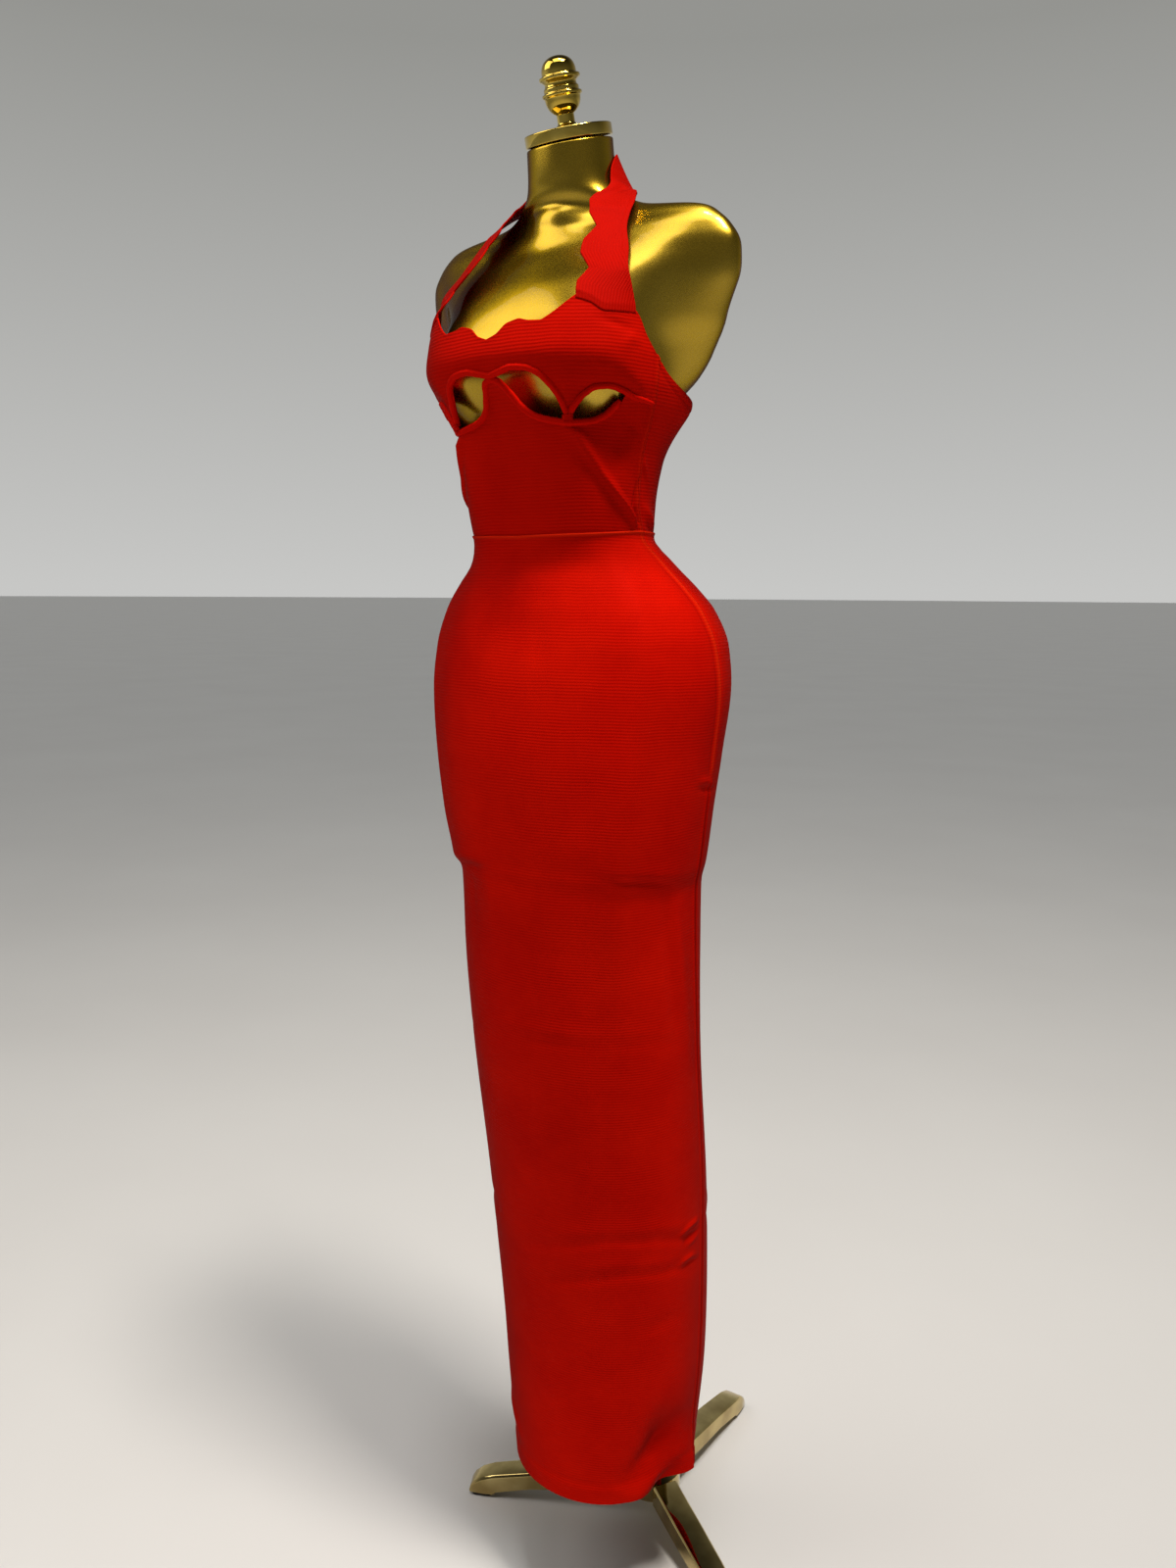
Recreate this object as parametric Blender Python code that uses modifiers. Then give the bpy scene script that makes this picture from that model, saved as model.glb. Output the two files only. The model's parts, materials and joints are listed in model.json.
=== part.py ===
"""A floor-length halter bodycon dress standing on a limbless dress form with a three-legged base.

Metres, +Z up. The wearer faces -Y and the wearer's left is +X. The floor is at z = 0.
A place on the dress or the form is given by its turn, in degrees round from the centre front,
positive towards the wearer's left, and by its height.
"""
from collections import namedtuple
from math import cos, degrees, exp, log, pi, radians, sin, sqrt

import bpy
import bmesh
from mathutils import Matrix, Vector

# Cloth and seams
CLOTH = 0.0015              # bandage knit
STRAP_CLOTH = 0.002         # doubled knit of the halter straps
SEAM = 0.0003               # gap between pieces that are sewn, seated or fastened together
PIPING_RADIUS = 0.0033
PIPING_TAPER = (60.0, 77.0, 0.55)   # from this turn to this one, down to this share
HEM_HEIGHT = 0.160

# Dress form
FORM_CLEAR = 0.0045         # from the outside of the dress to the outside of the form
FORM_WALL = 0.0035
FORM_BOTTOM = 0.902
FORM_SHARED_TOP = 1.290     # up to here the form has the shape of the dress, inside it
BUST_TURN, BUST_HEIGHT = 34.0, 1.396
BUST_OUT = 0.020
BUST_WIDE, BUST_UP, BUST_DOWN = 17.0, 0.045, 0.026
ARM_WIDE = 17.0
NECK_ROOT_WIDE = 0.035

# Neck cap and finial
CAP_RADIUS, CAP_THICK, CAP_EDGE = 0.0432, 0.0110, 0.0012
NECK_TOP = Vector((0.0, -0.1512, 1.6185))
NECK_LEAN = radians(17.0)

# Stand
HUB = Vector((0.0, 0.038, 0.0))
HUB_RADIUS, HUB_LOW, HUB_TOP = 0.036, 0.026, 0.066
POLE_RADIUS, POLE_WALL = 0.0125, 0.002
POLE_TOP = Vector((0.0, -0.058, 0.9035))
COLLAR_RADIUS, COLLAR_LENGTH = 0.019, 0.042
SOCKET_RADIUS, SOCKET_LENGTH = 0.019, 0.060
BOARD_THICK = 0.012
PAD_REACH = 0.225
PAD_LENGTH, PAD_WIDTH, PAD_THICK = 0.028, 0.024, 0.004

# Colours, linear
RED_KNIT = (0.52, 0.004, 0.003, 1.0)
GOLD_PAINT = (0.38, 0.24, 0.05, 1.0)
GOLD_PLATE = (0.62, 0.47, 0.17, 1.0)
BOARD_WOOD = (0.10, 0.08, 0.06, 1.0)
RUBBER = (0.02, 0.02, 0.02, 1.0)

Section = namedtuple(
    "Section", "height half_width middle front back front_square back_square corner_cut"
)

# The dress from hem to neckline: front, middle and back are places along Y, and the flat under
# each cup cuts the front corner back
DRESS_SECTIONS = (
    Section(0.160, 0.1030, -0.076, -0.179, 0.054, 2.05, 2.05, 0.0000),
    Section(0.300, 0.1190, -0.078, -0.183, 0.051, 2.05, 2.05, 0.0000),
    Section(0.500, 0.1265, -0.092, -0.202, 0.031, 2.10, 2.10, 0.0000),
    Section(0.700, 0.1310, -0.117, -0.230, -0.001, 2.10, 2.10, 0.0000),
    Section(0.800, 0.1335, -0.125, -0.239, -0.009, 2.10, 2.10, 0.0000),
    Section(0.880, 0.1350, -0.127, -0.242, -0.013, 2.10, 2.10, 0.0000),
    Section(0.905, 0.1415, -0.131, -0.249, -0.013, 2.15, 2.15, 0.0000),
    Section(0.960, 0.1500, -0.134, -0.254, -0.014, 2.20, 2.20, 0.0000),
    Section(1.020, 0.1580, -0.133, -0.257, -0.009, 2.20, 2.20, 0.0000),
    Section(1.090, 0.1650, -0.129, -0.254, -0.004, 2.20, 2.20, 0.0000),
    Section(1.130, 0.1610, -0.128, -0.250, -0.006, 2.20, 2.20, 0.0000),
    Section(1.165, 0.1480, -0.131, -0.243, -0.019, 2.20, 2.20, 0.0000),
    Section(1.190, 0.1300, -0.137, -0.236, -0.038, 2.20, 2.20, 0.0000),
    Section(1.212, 0.1110, -0.144, -0.231, -0.059, 2.20, 2.20, 0.0000),
    Section(1.240, 0.0960, -0.160, -0.234, -0.084, 2.40, 2.20, 0.0000),
    Section(1.270, 0.0980, -0.161, -0.236, -0.084, 2.80, 2.20, 0.0015),
    Section(1.310, 0.1060, -0.163, -0.241, -0.080, 3.10, 2.20, 0.0055),
    Section(1.343, 0.1180, -0.161, -0.248, -0.070, 3.20, 2.20, 0.0120),
    Section(1.365, 0.1260, -0.161, -0.261, -0.064, 2.90, 2.20, 0.0100),
    Section(1.380, 0.1290, -0.162, -0.273, -0.064, 2.70, 2.20, 0.0045),
    Section(1.400, 0.1300, -0.164, -0.281, -0.067, 2.60, 2.20, 0.0000),
    Section(1.420, 0.1280, -0.166, -0.278, -0.070, 2.60, 2.20, 0.0000),
    Section(1.450, 0.1240, -0.169, -0.269, -0.074, 2.60, 2.20, 0.0000),
)

FormSection = namedtuple(
    "FormSection",
    "height half_width middle front back front_square back_square arm_out arm_turn neck_out lean",
)

# The form above the ribs: the stubs of the upper arms swell out at the sides, the root of the
# neck at the centre, front and back, and the neck leans
FORM_SECTIONS = (
    FormSection(1.310, 0.1010, -0.163, -0.234, -0.085, 2.3, 2.2, 0.000, 118, 0.000, 0),
    FormSection(1.343, 0.1120, -0.161, -0.236, -0.075, 2.1, 2.2, 0.000, 118, 0.000, 0),
    FormSection(1.372, 0.1190, -0.160, -0.247, -0.069, 2.4, 2.2, 0.004, 116, 0.000, 0),
    FormSection(1.388, 0.1215, -0.159, -0.253, -0.068, 2.3, 2.2, 0.017, 112, 0.000, 0),
    FormSection(1.412, 0.1230, -0.158, -0.253, -0.067, 2.3, 2.2, 0.032, 107, 0.000, 0),
    FormSection(1.440, 0.1300, -0.156, -0.244, -0.067, 2.2, 2.3, 0.040, 101, 0.000, 0),
    FormSection(1.470, 0.1430, -0.153, -0.227, -0.069, 2.1, 2.3, 0.040, 98, 0.000, 0),
    FormSection(1.495, 0.1580, -0.149, -0.204, -0.073, 2.1, 2.3, 0.029, 96, 0.004, 0),
    FormSection(1.512, 0.1660, -0.146, -0.188, -0.082, 2.2, 2.3, 0.017, 94, 0.007, 0),
    FormSection(1.524, 0.1660, -0.144, -0.179, -0.094, 2.3, 2.4, 0.008, 92, 0.012, 0),
    FormSection(1.534, 0.1620, -0.142, -0.169, -0.107, 2.4, 2.4, 0.000, 90, 0.019, 0),
    FormSection(1.541, 0.1490, -0.141, -0.164, -0.116, 2.5, 2.4, 0.000, 90, 0.024, 0),
    FormSection(1.545, 0.1300, -0.141, -0.160, -0.121, 2.4, 2.3, 0.000, 90, 0.027, 0),
    FormSection(1.548, 0.0960, -0.141, -0.160, -0.121, 2.2, 2.2, 0.000, 90, 0.026, 0),
    FormSection(1.554, 0.0780, -0.142, -0.166, -0.115, 2.0, 2.0, 0.000, 90, 0.016, 1),
    FormSection(1.560, 0.0640, -0.143, -0.174, -0.110, 2.0, 2.0, 0.000, 90, 0.009, 2),
    FormSection(1.567, 0.0525, -0.144, -0.183, -0.104, 2.0, 2.0, 0.000, 90, 0.004, 4),
    FormSection(1.577, 0.0460, -0.146, -0.188, -0.103, 2.0, 2.0, 0.000, 90, 0.000, 6),
    FormSection(1.593, 0.0430, -0.148, -0.191, -0.105, 2.0, 2.0, 0.000, 90, 0.000, 11),
    FormSection(1.618, 0.0422, -0.151, -0.193, -0.109, 2.0, 2.0, 0.000, 90, 0.000, 17),
)

# The flat that cuts the front corners: which way it faces, and how soft its creases are
CORNER_X, CORNER_Y = 0.742, 0.671
CORNER_SOFT = 0.0015

Mark = namedtuple("Mark", "turn height")

# Scalloped neckline of the bust band, from the centre front to the strap
NECKLINE = (
    Mark(0.0, 1.4145), Mark(5.0, 1.4185), Mark(9.5, 1.4270), Mark(15.5, 1.4302),
    Mark(20.0, 1.4275), Mark(25.5, 1.4268), Mark(30.0, 1.4330), Mark(38.7, 1.4485),
)
# Seam between the bust band and the strap
STRAP_SEAM = (
    Mark(38.7, 1.4485), Mark(44.7, 1.4445), Mark(51.5, 1.4372), Mark(66.8, 1.4380),
)
# Armhole edge round the side, and the low edge across the back
ARMHOLE = (
    Mark(66.8, 1.4380), Mark(69.0, 1.4330), Mark(72.9, 1.4165), Mark(78.7, 1.4020),
    Mark(88.6, 1.3860), Mark(105.5, 1.3745), Mark(119.0, 1.3670), Mark(140.0, 1.3600),
    Mark(180.0, 1.3560),
)
# Piped lower edge of the bust band: an arch, the point under the cup, an arch, then the side
BAND_EDGE = (
    Mark(0.0, 1.3825), Mark(6.0, 1.3855), Mark(12.0, 1.3880), Mark(18.0, 1.3868),
    Mark(22.5, 1.3828), Mark(26.4, 1.3735), Mark(29.3, 1.3600), Mark(31.5, 1.3470),
    Mark(34.5, 1.3535), Mark(40.0, 1.3640), Mark(45.9, 1.3702), Mark(51.4, 1.3712),
    Mark(57.0, 1.3685), Mark(63.8, 1.3625), Mark(80.0, 1.3575),
)
# Piped upper edge of the midriff, which leaves two openings a side under the bust band
MIDRIFF_EDGE = (
    Mark(0.0, 1.3750), Mark(3.5, 1.3730), Mark(6.5, 1.3660), Mark(10.0, 1.3560),
    Mark(14.5, 1.3485), Mark(20.0, 1.3440), Mark(26.0, 1.3412), Mark(31.5, 1.3395),
    Mark(37.0, 1.3400), Mark(43.0, 1.3415), Mark(48.0, 1.3455), Mark(52.0, 1.3515),
    Mark(56.0, 1.3600), Mark(62.0, 1.3800),
)
MIDRIFF_PIPING_END = 55.5
MIDRIFF_ROWS, BAND_ROWS = 7, 5
# Heights of the skirts' rows at the centre front
SKIRT_ROWS = (0.160, 0.190, 0.235, 0.310, 0.420, 0.540, 0.660, 0.780, 0.880, 0.905, 0.935, 0.990,
              1.045, 1.090, 1.125, 1.155, 1.182, 1.206, 1.226, 1.2372)
# Columns of the bust band, of which the strap takes those over its seam
BAND_TURNS = (0, 3, 6, 9.5, 12.5, 15.5, 18, 20.5, 22.5, 24.5, 26.4, 28, 29.3, 30.4, 31.5, 33,
              34.5, 36.5, 38.7, 42, 45.9, 48.5, 51.5, 55, 59, 63, 66.8, 69, 72.9)
BAND_SIDE = 78.5
MIDRIFF_TURNS = (0, 3.5, 6.5, 10, 14.5, 20, 26, 31.5, 37, 43, 48, 51.5, 55, 59, 63, 66.8, 69, 72.9)
WAIST_SEAM = (Mark(0.0, 1.2375), Mark(45.0, 1.2395), Mark(90.0, 1.2430), Mark(180.0, 1.2430))

# Where the side seam runs, up from the hem
SeamMark = namedtuple("SeamMark", "height turn")
SIDE_SEAM = (
    SeamMark(0.160, 103.0), SeamMark(0.400, 104.0), SeamMark(0.600, 107.0), SeamMark(0.740, 105.0),
    SeamMark(0.860, 101.0), SeamMark(0.970, 99.0), SeamMark(1.030, 97.0), SeamMark(1.100, 93.5),
    SeamMark(1.170, 90.5), SeamMark(1.240, 90.0), SeamMark(1.270, 83.0), SeamMark(1.300, 81.0),
    SeamMark(1.360, 77.0), SeamMark(1.405, 80.0),
)

# Strong creases of the cloth: how far out they stand, where, and how wide they are
Fold = namedtuple("Fold", "out turn height wide tall")
FOLDS = (
    Fold(-0.026, 73.0, 0.150, 15.0, 0.045),     # hem pushed in beside the left side seam
    Fold(0.017, 96.0, 0.150, 9.0, 0.050),       # the seam's corner stands out
    Fold(0.008, 117.0, 1.362, 14.0, 0.022),     # the back's upper corners stand off the form
    Fold(0.008, -117.0, 1.362, 14.0, 0.022),
    Fold(-0.004, 62.0, 1.318, 13.0, 0.022),     # hollow between the ridge and the side
    Fold(-0.004, -62.0, 1.318, 13.0, 0.022),
)
# Ridge where the flat midriff turns back to the side, from under the cup to the waist
RIDGE = (SeamMark(1.245, 84.0), SeamMark(1.259, 76.0), SeamMark(1.281, 59.0),
         SeamMark(1.311, 44.0), SeamMark(1.335, 34.0))
RIDGE_OUT, RIDGE_WIDE, RIDGE_LOW, RIDGE_HIGH = 0.0025, 5.0, 1.246, 1.338

Rung = namedtuple("Rung", "inner outer")

# The wearer's left strap above the bust, up beside the neck and round behind it
STRAP_RUNGS = (
    Rung((0.0838, -0.2341, 1.4736), (0.1140, -0.2115, 1.4710)),
    Rung((0.0759, -0.2191, 1.4959), (0.1015, -0.1951, 1.5000)),
    Rung((0.0685, -0.2012, 1.5196), (0.0904, -0.1818, 1.5238)),
    Rung((0.0600, -0.1839, 1.5437), (0.0837, -0.1596, 1.5508)),
    Rung((0.0528, -0.1732, 1.5582), (0.0745, -0.1430, 1.5635)),
    Rung((0.0530, -0.1570, 1.5720), (0.0680, -0.1330, 1.5680)),
    Rung((0.0480, -0.1450, 1.5880), (0.0580, -0.1170, 1.5710)),
    Rung((0.0390, -0.1205, 1.6060), (0.0440, -0.1020, 1.5740)),
    Rung((0.0200, -0.1065, 1.6110), (0.0220, -0.0950, 1.5750)),
    Rung((0.0100, -0.1015, 1.6120), (0.0100, -0.0925, 1.5755)),
    Rung((0.0004, -0.1010, 1.6120), (0.0004, -0.0920, 1.5755)),
)
SCALLOP_DEPTH, SCALLOP_LENGTH, SCALLOP_LAST = 0.0100, 0.059, 2.5
SCALLOP_STEPS = 6            # rows of the strap over each scallop
STRAP_ROOT = 0.004           # height of the strip of the strap that lies on with the bust band
STRAP_FLAT = 0.090           # length over which the strap flattens out
STRAP_TOP_ROWS = 11          # rows above the last scallop

# Turned profile of the finial, up its axis from the neck cap
Turn = namedtuple("Turn", "radius height")
FINIAL_PROFILE = (
    Turn(0.0130, 0.0000), Turn(0.0130, 0.0012), Turn(0.0098, 0.0036), Turn(0.0080, 0.0062),
    Turn(0.0080, 0.0130), Turn(0.0105, 0.0150), Turn(0.0140, 0.0190), Turn(0.0159, 0.0240),
    Turn(0.0165, 0.0280), Turn(0.0182, 0.0296), Turn(0.0182, 0.0314), Turn(0.0161, 0.0328),
    Turn(0.0161, 0.0358), Turn(0.0148, 0.0378), Turn(0.0144, 0.0400), Turn(0.0160, 0.0420),
    Turn(0.0186, 0.0441), Turn(0.0186, 0.0460), Turn(0.0159, 0.0476), Turn(0.0156, 0.0515),
    Turn(0.0143, 0.0562), Turn(0.0112, 0.0602), Turn(0.0070, 0.0627), Turn(0.0035, 0.0636),
    Turn(0.0000, 0.0638),
)

# A leg, out from the hub's axis: its top and its underside
LegSection = namedtuple("LegSection", "reach top under half_width")
LEG_SECTIONS = (
    LegSection(0.0364, 0.0560, 0.0300, 0.0172),
    LegSection(0.1000, 0.0480, 0.0220, 0.0168),
    LegSection(0.1600, 0.0400, 0.0175, 0.0160),
    LegSection(0.2050, 0.0325, 0.0085, 0.0152),
    LegSection(0.2110, 0.0315, 0.0043, 0.0150),
    LegSection(0.2260, 0.0265, 0.0043, 0.0142),
    LegSection(0.2360, 0.0195, 0.0043, 0.0130),
    LegSection(0.2420, 0.0105, 0.0043, 0.0115),
)
LEG_TOP_SHARE = 0.84         # width of a leg's flat top, as a share of its whole width
LEG_SHOULDER = 0.0028        # height of the sloping sides of the top
LEG_TURNS = (("back", 91.5), ("front_right", 210.0), ("front_left", 329.0))


def smooth(xs, ys, x):
    """A smooth curve through the points, with no overshoot between them."""
    if x <= xs[0]:
        return ys[0]
    if x >= xs[-1]:
        return ys[-1]
    steps = [b - a for a, b in zip(xs, xs[1:])]
    slopes = [(b - a) / step for a, b, step in zip(ys, ys[1:], steps)]
    tangents = [slopes[0]]
    for before, after in zip(slopes, slopes[1:]):
        flat = before * after <= 0
        tangents.append(0.0 if flat else 2 * before * after / (before + after))
    tangents.append(slopes[-1])
    i = max(k for k in range(len(steps)) if xs[k] <= x)
    t = (x - xs[i]) / steps[i]
    rise = steps[i]
    return (
        (1 + 2 * t) * (1 - t) ** 2 * ys[i]
        + t * (1 - t) ** 2 * rise * tangents[i]
        + t * t * (3 - 2 * t) * ys[i + 1]
        + t * t * (t - 1) * rise * tangents[i + 1]
    )


def read(table, key, value, x):
    """Read one named column of a table against another."""
    return smooth([getattr(row, key) for row in table], [getattr(row, value) for row in table], x)


def section_row(table, height):
    """Every column of a table of sections at a height."""
    fields = table[0]._fields[1:]
    return type(table[0])(height, *[read(table, "height", field, height) for field in fields])


def edge(table, turn):
    return read(table, "turn", "height", abs(turn))


def corner_reach(row, out):
    """How far the section reaches square to the flat that cuts its front corner."""
    power = row.front_square / (row.front_square - 1.0)
    wide = ((row.half_width + out) * CORNER_X) ** power
    deep = ((row.middle - row.front + out) * CORNER_Y) ** power
    return (wide + deep) ** (1.0 / power)


def cut_corner(row, x, y, out):
    """Move a point of the front back onto the flat, with a soft crease."""
    limit = corner_reach(row, out) - row.corner_cut
    over = (abs(x) * CORNER_X + (row.middle - y) * CORNER_Y - limit) / CORNER_SOFT
    back = CORNER_SOFT * (over if over > 20 else log(1.0 + exp(over)))
    back *= min(1.0, row.corner_cut / 0.004)
    return x - (CORNER_X if x > 0 else -CORNER_X) * back, y + CORNER_Y * back


def round_section(row, turn, out):
    """A point of a section that is squarer than an ellipse, as (x, y)."""
    angle = radians(turn - 90.0)
    c, s = cos(angle), sin(angle)
    square = row.front_square if s < 0 else row.back_square
    reach = 1.0 / (abs(c) ** square + abs(s) ** square) ** (1.0 / square)
    deep = (row.middle - row.front if s < 0 else row.back - row.middle) + out
    return (row.half_width + out) * reach * c, row.middle + deep * reach * s


def dress_outline(row, turn, out):
    x, y = round_section(row, turn, out)
    if row.corner_cut > 0 and y < row.middle:
        return cut_corner(row, x, y, out)
    return x, y


def hump(x, wide):
    return exp(-((x / wide) ** 2))


def fold_out(turn, height):
    """How far the creases move the cloth out at a place."""
    out = sum(
        fold.out * hump(turn - fold.turn, fold.wide) * hump(height - fold.height, fold.tall)
        for fold in FOLDS
    )
    if RIDGE_LOW < height < RIDGE_HIGH:
        at = read(RIDGE, "height", "turn", height)
        fade = min(1.0, (height - RIDGE_LOW) / 0.01, (RIDGE_HIGH - height) / 0.01)
        out += RIDGE_OUT * fade * hump(abs(turn) - at, RIDGE_WIDE)
    return out


def dress_point(turn, height, out=0.0):
    row = section_row(DRESS_SECTIONS, height)
    out += fold_out(turn, height)
    return Vector((*dress_outline(row, turn, out), height))


def form_point(turn, height, out=0.0):
    if height <= FORM_SHARED_TOP:
        row = section_row(DRESS_SECTIONS, height)
        return Vector((*dress_outline(row, turn, out - FORM_CLEAR), height))
    row = section_row(FORM_SECTIONS, height)
    if height < FORM_SECTIONS[0].height:
        low = section_row(DRESS_SECTIONS, height)
        share = (height - FORM_SHARED_TOP) / (FORM_SECTIONS[0].height - FORM_SHARED_TOP)
        a = Vector(dress_outline(low, turn, out - FORM_CLEAR))
        b = Vector(round_section(row, turn, out))
        x, y = a.lerp(b, share)
        return Vector((x, y, height))
    rise = height - BUST_HEIGHT
    bust = BUST_OUT * hump(abs(turn) - BUST_TURN, BUST_WIDE)
    bust *= hump(rise, BUST_UP if rise > 0 else BUST_DOWN)
    arm = row.arm_out * hump(abs(turn) - row.arm_turn, ARM_WIDE)
    root_wide = degrees(NECK_ROOT_WIDE / row.half_width)
    root = row.neck_out * (hump(turn, root_wide) + hump(180.0 - abs(turn), root_wide))
    x, y = round_section(row, turn, out + bust + arm + root)
    tilt = (y - row.middle) * sin(radians(row.lean))
    return Vector((x, y, height + tilt))


def material(name, colour, roughness, metallic=0.0):
    mat = bpy.data.materials.get(name) or bpy.data.materials.new(name)
    mat.use_nodes = True
    shader = mat.node_tree.nodes["Principled BSDF"]
    shader.inputs["Base Color"].default_value = colour
    shader.inputs["Roughness"].default_value = roughness
    shader.inputs["Metallic"].default_value = metallic
    return mat


def add_object(name, mesh, collection, mat):
    obj = bpy.data.objects.new(name, mesh)
    collection.objects.link(obj)
    mesh.materials.append(mat)
    mesh.shade_smooth()
    mesh.set_sharp_from_angle(angle=radians(35))
    return obj


def grid_mesh(name, rows, closed=False):
    """A surface through rows of points; closed joins each row's end to its start."""
    wide = len(rows[0])
    points = [point for row in rows for point in row]
    faces = []
    for i in range(len(rows) - 1):
        for j in range(wide if closed else wide - 1):
            k = (j + 1) % wide
            faces.append((i * wide + j, i * wide + k, (i + 1) * wide + k, (i + 1) * wide + j))
    mesh = bpy.data.meshes.new(name)
    mesh.from_pydata([tuple(point) for point in points], [], faces)
    mesh.update()
    return mesh


def solidify(obj, thickness, offset=-1.0):
    mod = obj.modifiers.new("Wall", "SOLIDIFY")
    mod.thickness = thickness
    mod.offset = offset
    mod.use_even_offset = True
    mod.use_quality_normals = True


def mirror(obj):
    mod = obj.modifiers.new("Mirror", "MIRROR")
    mod.merge_threshold = 0.0001
    mod.use_clip = True


def side_height(level):
    """Where a level line round the dress crosses the side seam."""
    height = 1.3
    for _ in range(8):
        height = level(read(SIDE_SEAM, "height", "turn", height))
    return height


def seam_shift(height):
    """The half of a seam's gap, in degrees of turn at this height."""
    half_width = read(DRESS_SECTIONS, "height", "half_width", height)
    return degrees(0.5 * SEAM / half_width)


def front_turn(share, height):
    return share * (read(SIDE_SEAM, "height", "turn", height) - seam_shift(height))


def band_turn(share, height):
    """Columns of the bust band stay upright, but for the last one, on the seam."""
    return front_turn(1.0, height) if share == 1.0 else share * BAND_SIDE


def back_turn(share, height):
    start = read(SIDE_SEAM, "height", "turn", height) + seam_shift(height)
    return start + share * (180.0 - start)


def column(turn_at, share, low, high, heights):
    """Points up a column of a panel between its two edges, at these shares of the way."""
    bottom = top = 1.0
    for _ in range(6):
        bottom = low(turn_at(share, bottom))
        top = high(turn_at(share, top))
    points = []
    for part in heights:
        height = bottom + part * (top - bottom)
        points.append(dress_point(turn_at(share, height), height))
    return points


def spaced(count):
    return [i / (count - 1) for i in range(count)]


def shares_through(turns, last):
    """Shares of the way to the seam that put a column on each given turn."""
    return [turn / last for turn in turns if turn < last] + [1.0]


def half_panel(name, collection, mat, turn_at, shares, low, high, heights):
    """A panel whose two halves mirror each other at the centre."""
    columns = [column(turn_at, share, low, high, heights) for share in shares]
    rows = [list(row) for row in zip(*columns)]
    centre = -1 if turn_at is back_turn else 0
    for row in rows:
        row[centre].x = 0.0
    obj = add_object(name, grid_mesh(name, rows), collection, mat)
    mirror(obj)
    solidify(obj, CLOTH)
    return obj


def skirt_row(turn_at, part, shares):
    """A row right across a skirt panel, at a share of the way from the hem to the waist seam."""
    row = {}
    for share in shares:
        height = HEM_HEIGHT + part * (waist_low(90.0) - HEM_HEIGHT)
        for _ in range(3):
            turn = turn_at(share, height)
            height = HEM_HEIGHT + part * (waist_low(turn) - HEM_HEIGHT)
        row[turn] = dress_point(turn, height)
        row[-turn] = dress_point(-turn, height)
    turns = sorted(row) if turn_at is front_turn else sorted(row, key=lambda turn: turn % 360)
    return [row[turn] for turn in turns if turn != -180.0]


def piping_size(turn):
    """Share of its full size that the piping of the bust band has at a turn."""
    start, end, least = PIPING_TAPER
    share = min(1.0, max(0.0, (abs(turn) - start) / (end - start)))
    return 1.0 - (1.0 - least) * share


def off_edge(table, turn, side):
    """A line above (1) or below (-1) an edge line that leaves room for the piping on it."""
    distance = PIPING_RADIUS * piping_size(turn) + (SEAM if side > 0 else 3 * SEAM)
    height = edge(table, turn)
    degree = (dress_point(turn + 0.5, height) - dress_point(turn - 0.5, height)).length
    heights = []
    for step in range(-6, 7):
        across = step / 6
        beside = edge(table, turn + across * distance / degree)
        heights.append(beside + side * distance * sqrt(1 - across * across))
    return side * max(side * value for value in heights)


def band_bottom(turn):
    return off_edge(BAND_EDGE, turn, 1)


def band_top(turn):
    if abs(turn) < NECKLINE[-1].turn:
        return edge(NECKLINE, turn)
    if abs(turn) < STRAP_SEAM[-1].turn:
        return edge(STRAP_SEAM, turn)
    return edge(ARMHOLE, turn)


def midriff_top(turn):
    return min(off_edge(MIDRIFF_EDGE, turn, -1), off_edge(BAND_EDGE, turn, -1))


def waist_low(turn):
    return edge(WAIST_SEAM, turn) - 0.5 * SEAM


def waist_high(turn):
    return edge(WAIST_SEAM, turn) + 0.5 * SEAM


def back_top(turn):
    return edge(ARMHOLE, turn)


def dress_panels(collection):
    knit = material("red_bandage_knit", RED_KNIT, 0.55)
    shares = [(height - SKIRT_ROWS[0]) / (SKIRT_ROWS[-1] - SKIRT_ROWS[0]) for height in SKIRT_ROWS]
    for name, turn_at, columns in (("skirt_front", front_turn, 13), ("skirt_back", back_turn, 10)):
        rows = [skirt_row(turn_at, part, spaced(columns)) for part in shares]
        obj = add_object(name, grid_mesh(name, rows), collection, knit)
        solidify(obj, CLOTH)

    side = read(SIDE_SEAM, "height", "turn", side_height(band_bottom))
    half_panel("midriff_front", collection, knit, front_turn, shares_through(MIDRIFF_TURNS, side),
               waist_high, midriff_top, spaced(MIDRIFF_ROWS))
    half_panel("bust_band", collection, knit, band_turn, shares_through(BAND_TURNS, BAND_SIDE),
               band_bottom, band_top, spaced(BAND_ROWS))
    half_panel("bodice_back", collection, knit, back_turn, spaced(10),
               waist_high, back_top, bodice_rows())


def bodice_rows():
    """Rows of the back that meet every row of the midriff and the bust band at the side seam."""
    bottom, under = side_height(waist_high), side_height(midriff_top)
    over, top = side_height(band_bottom), side_height(back_top)
    heights = [bottom + part * (under - bottom) for part in spaced(MIDRIFF_ROWS)]
    heights += [over + part * (top - over) for part in spaced(BAND_ROWS)]
    return [(height - bottom) / (top - bottom) for height in heights]


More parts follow.
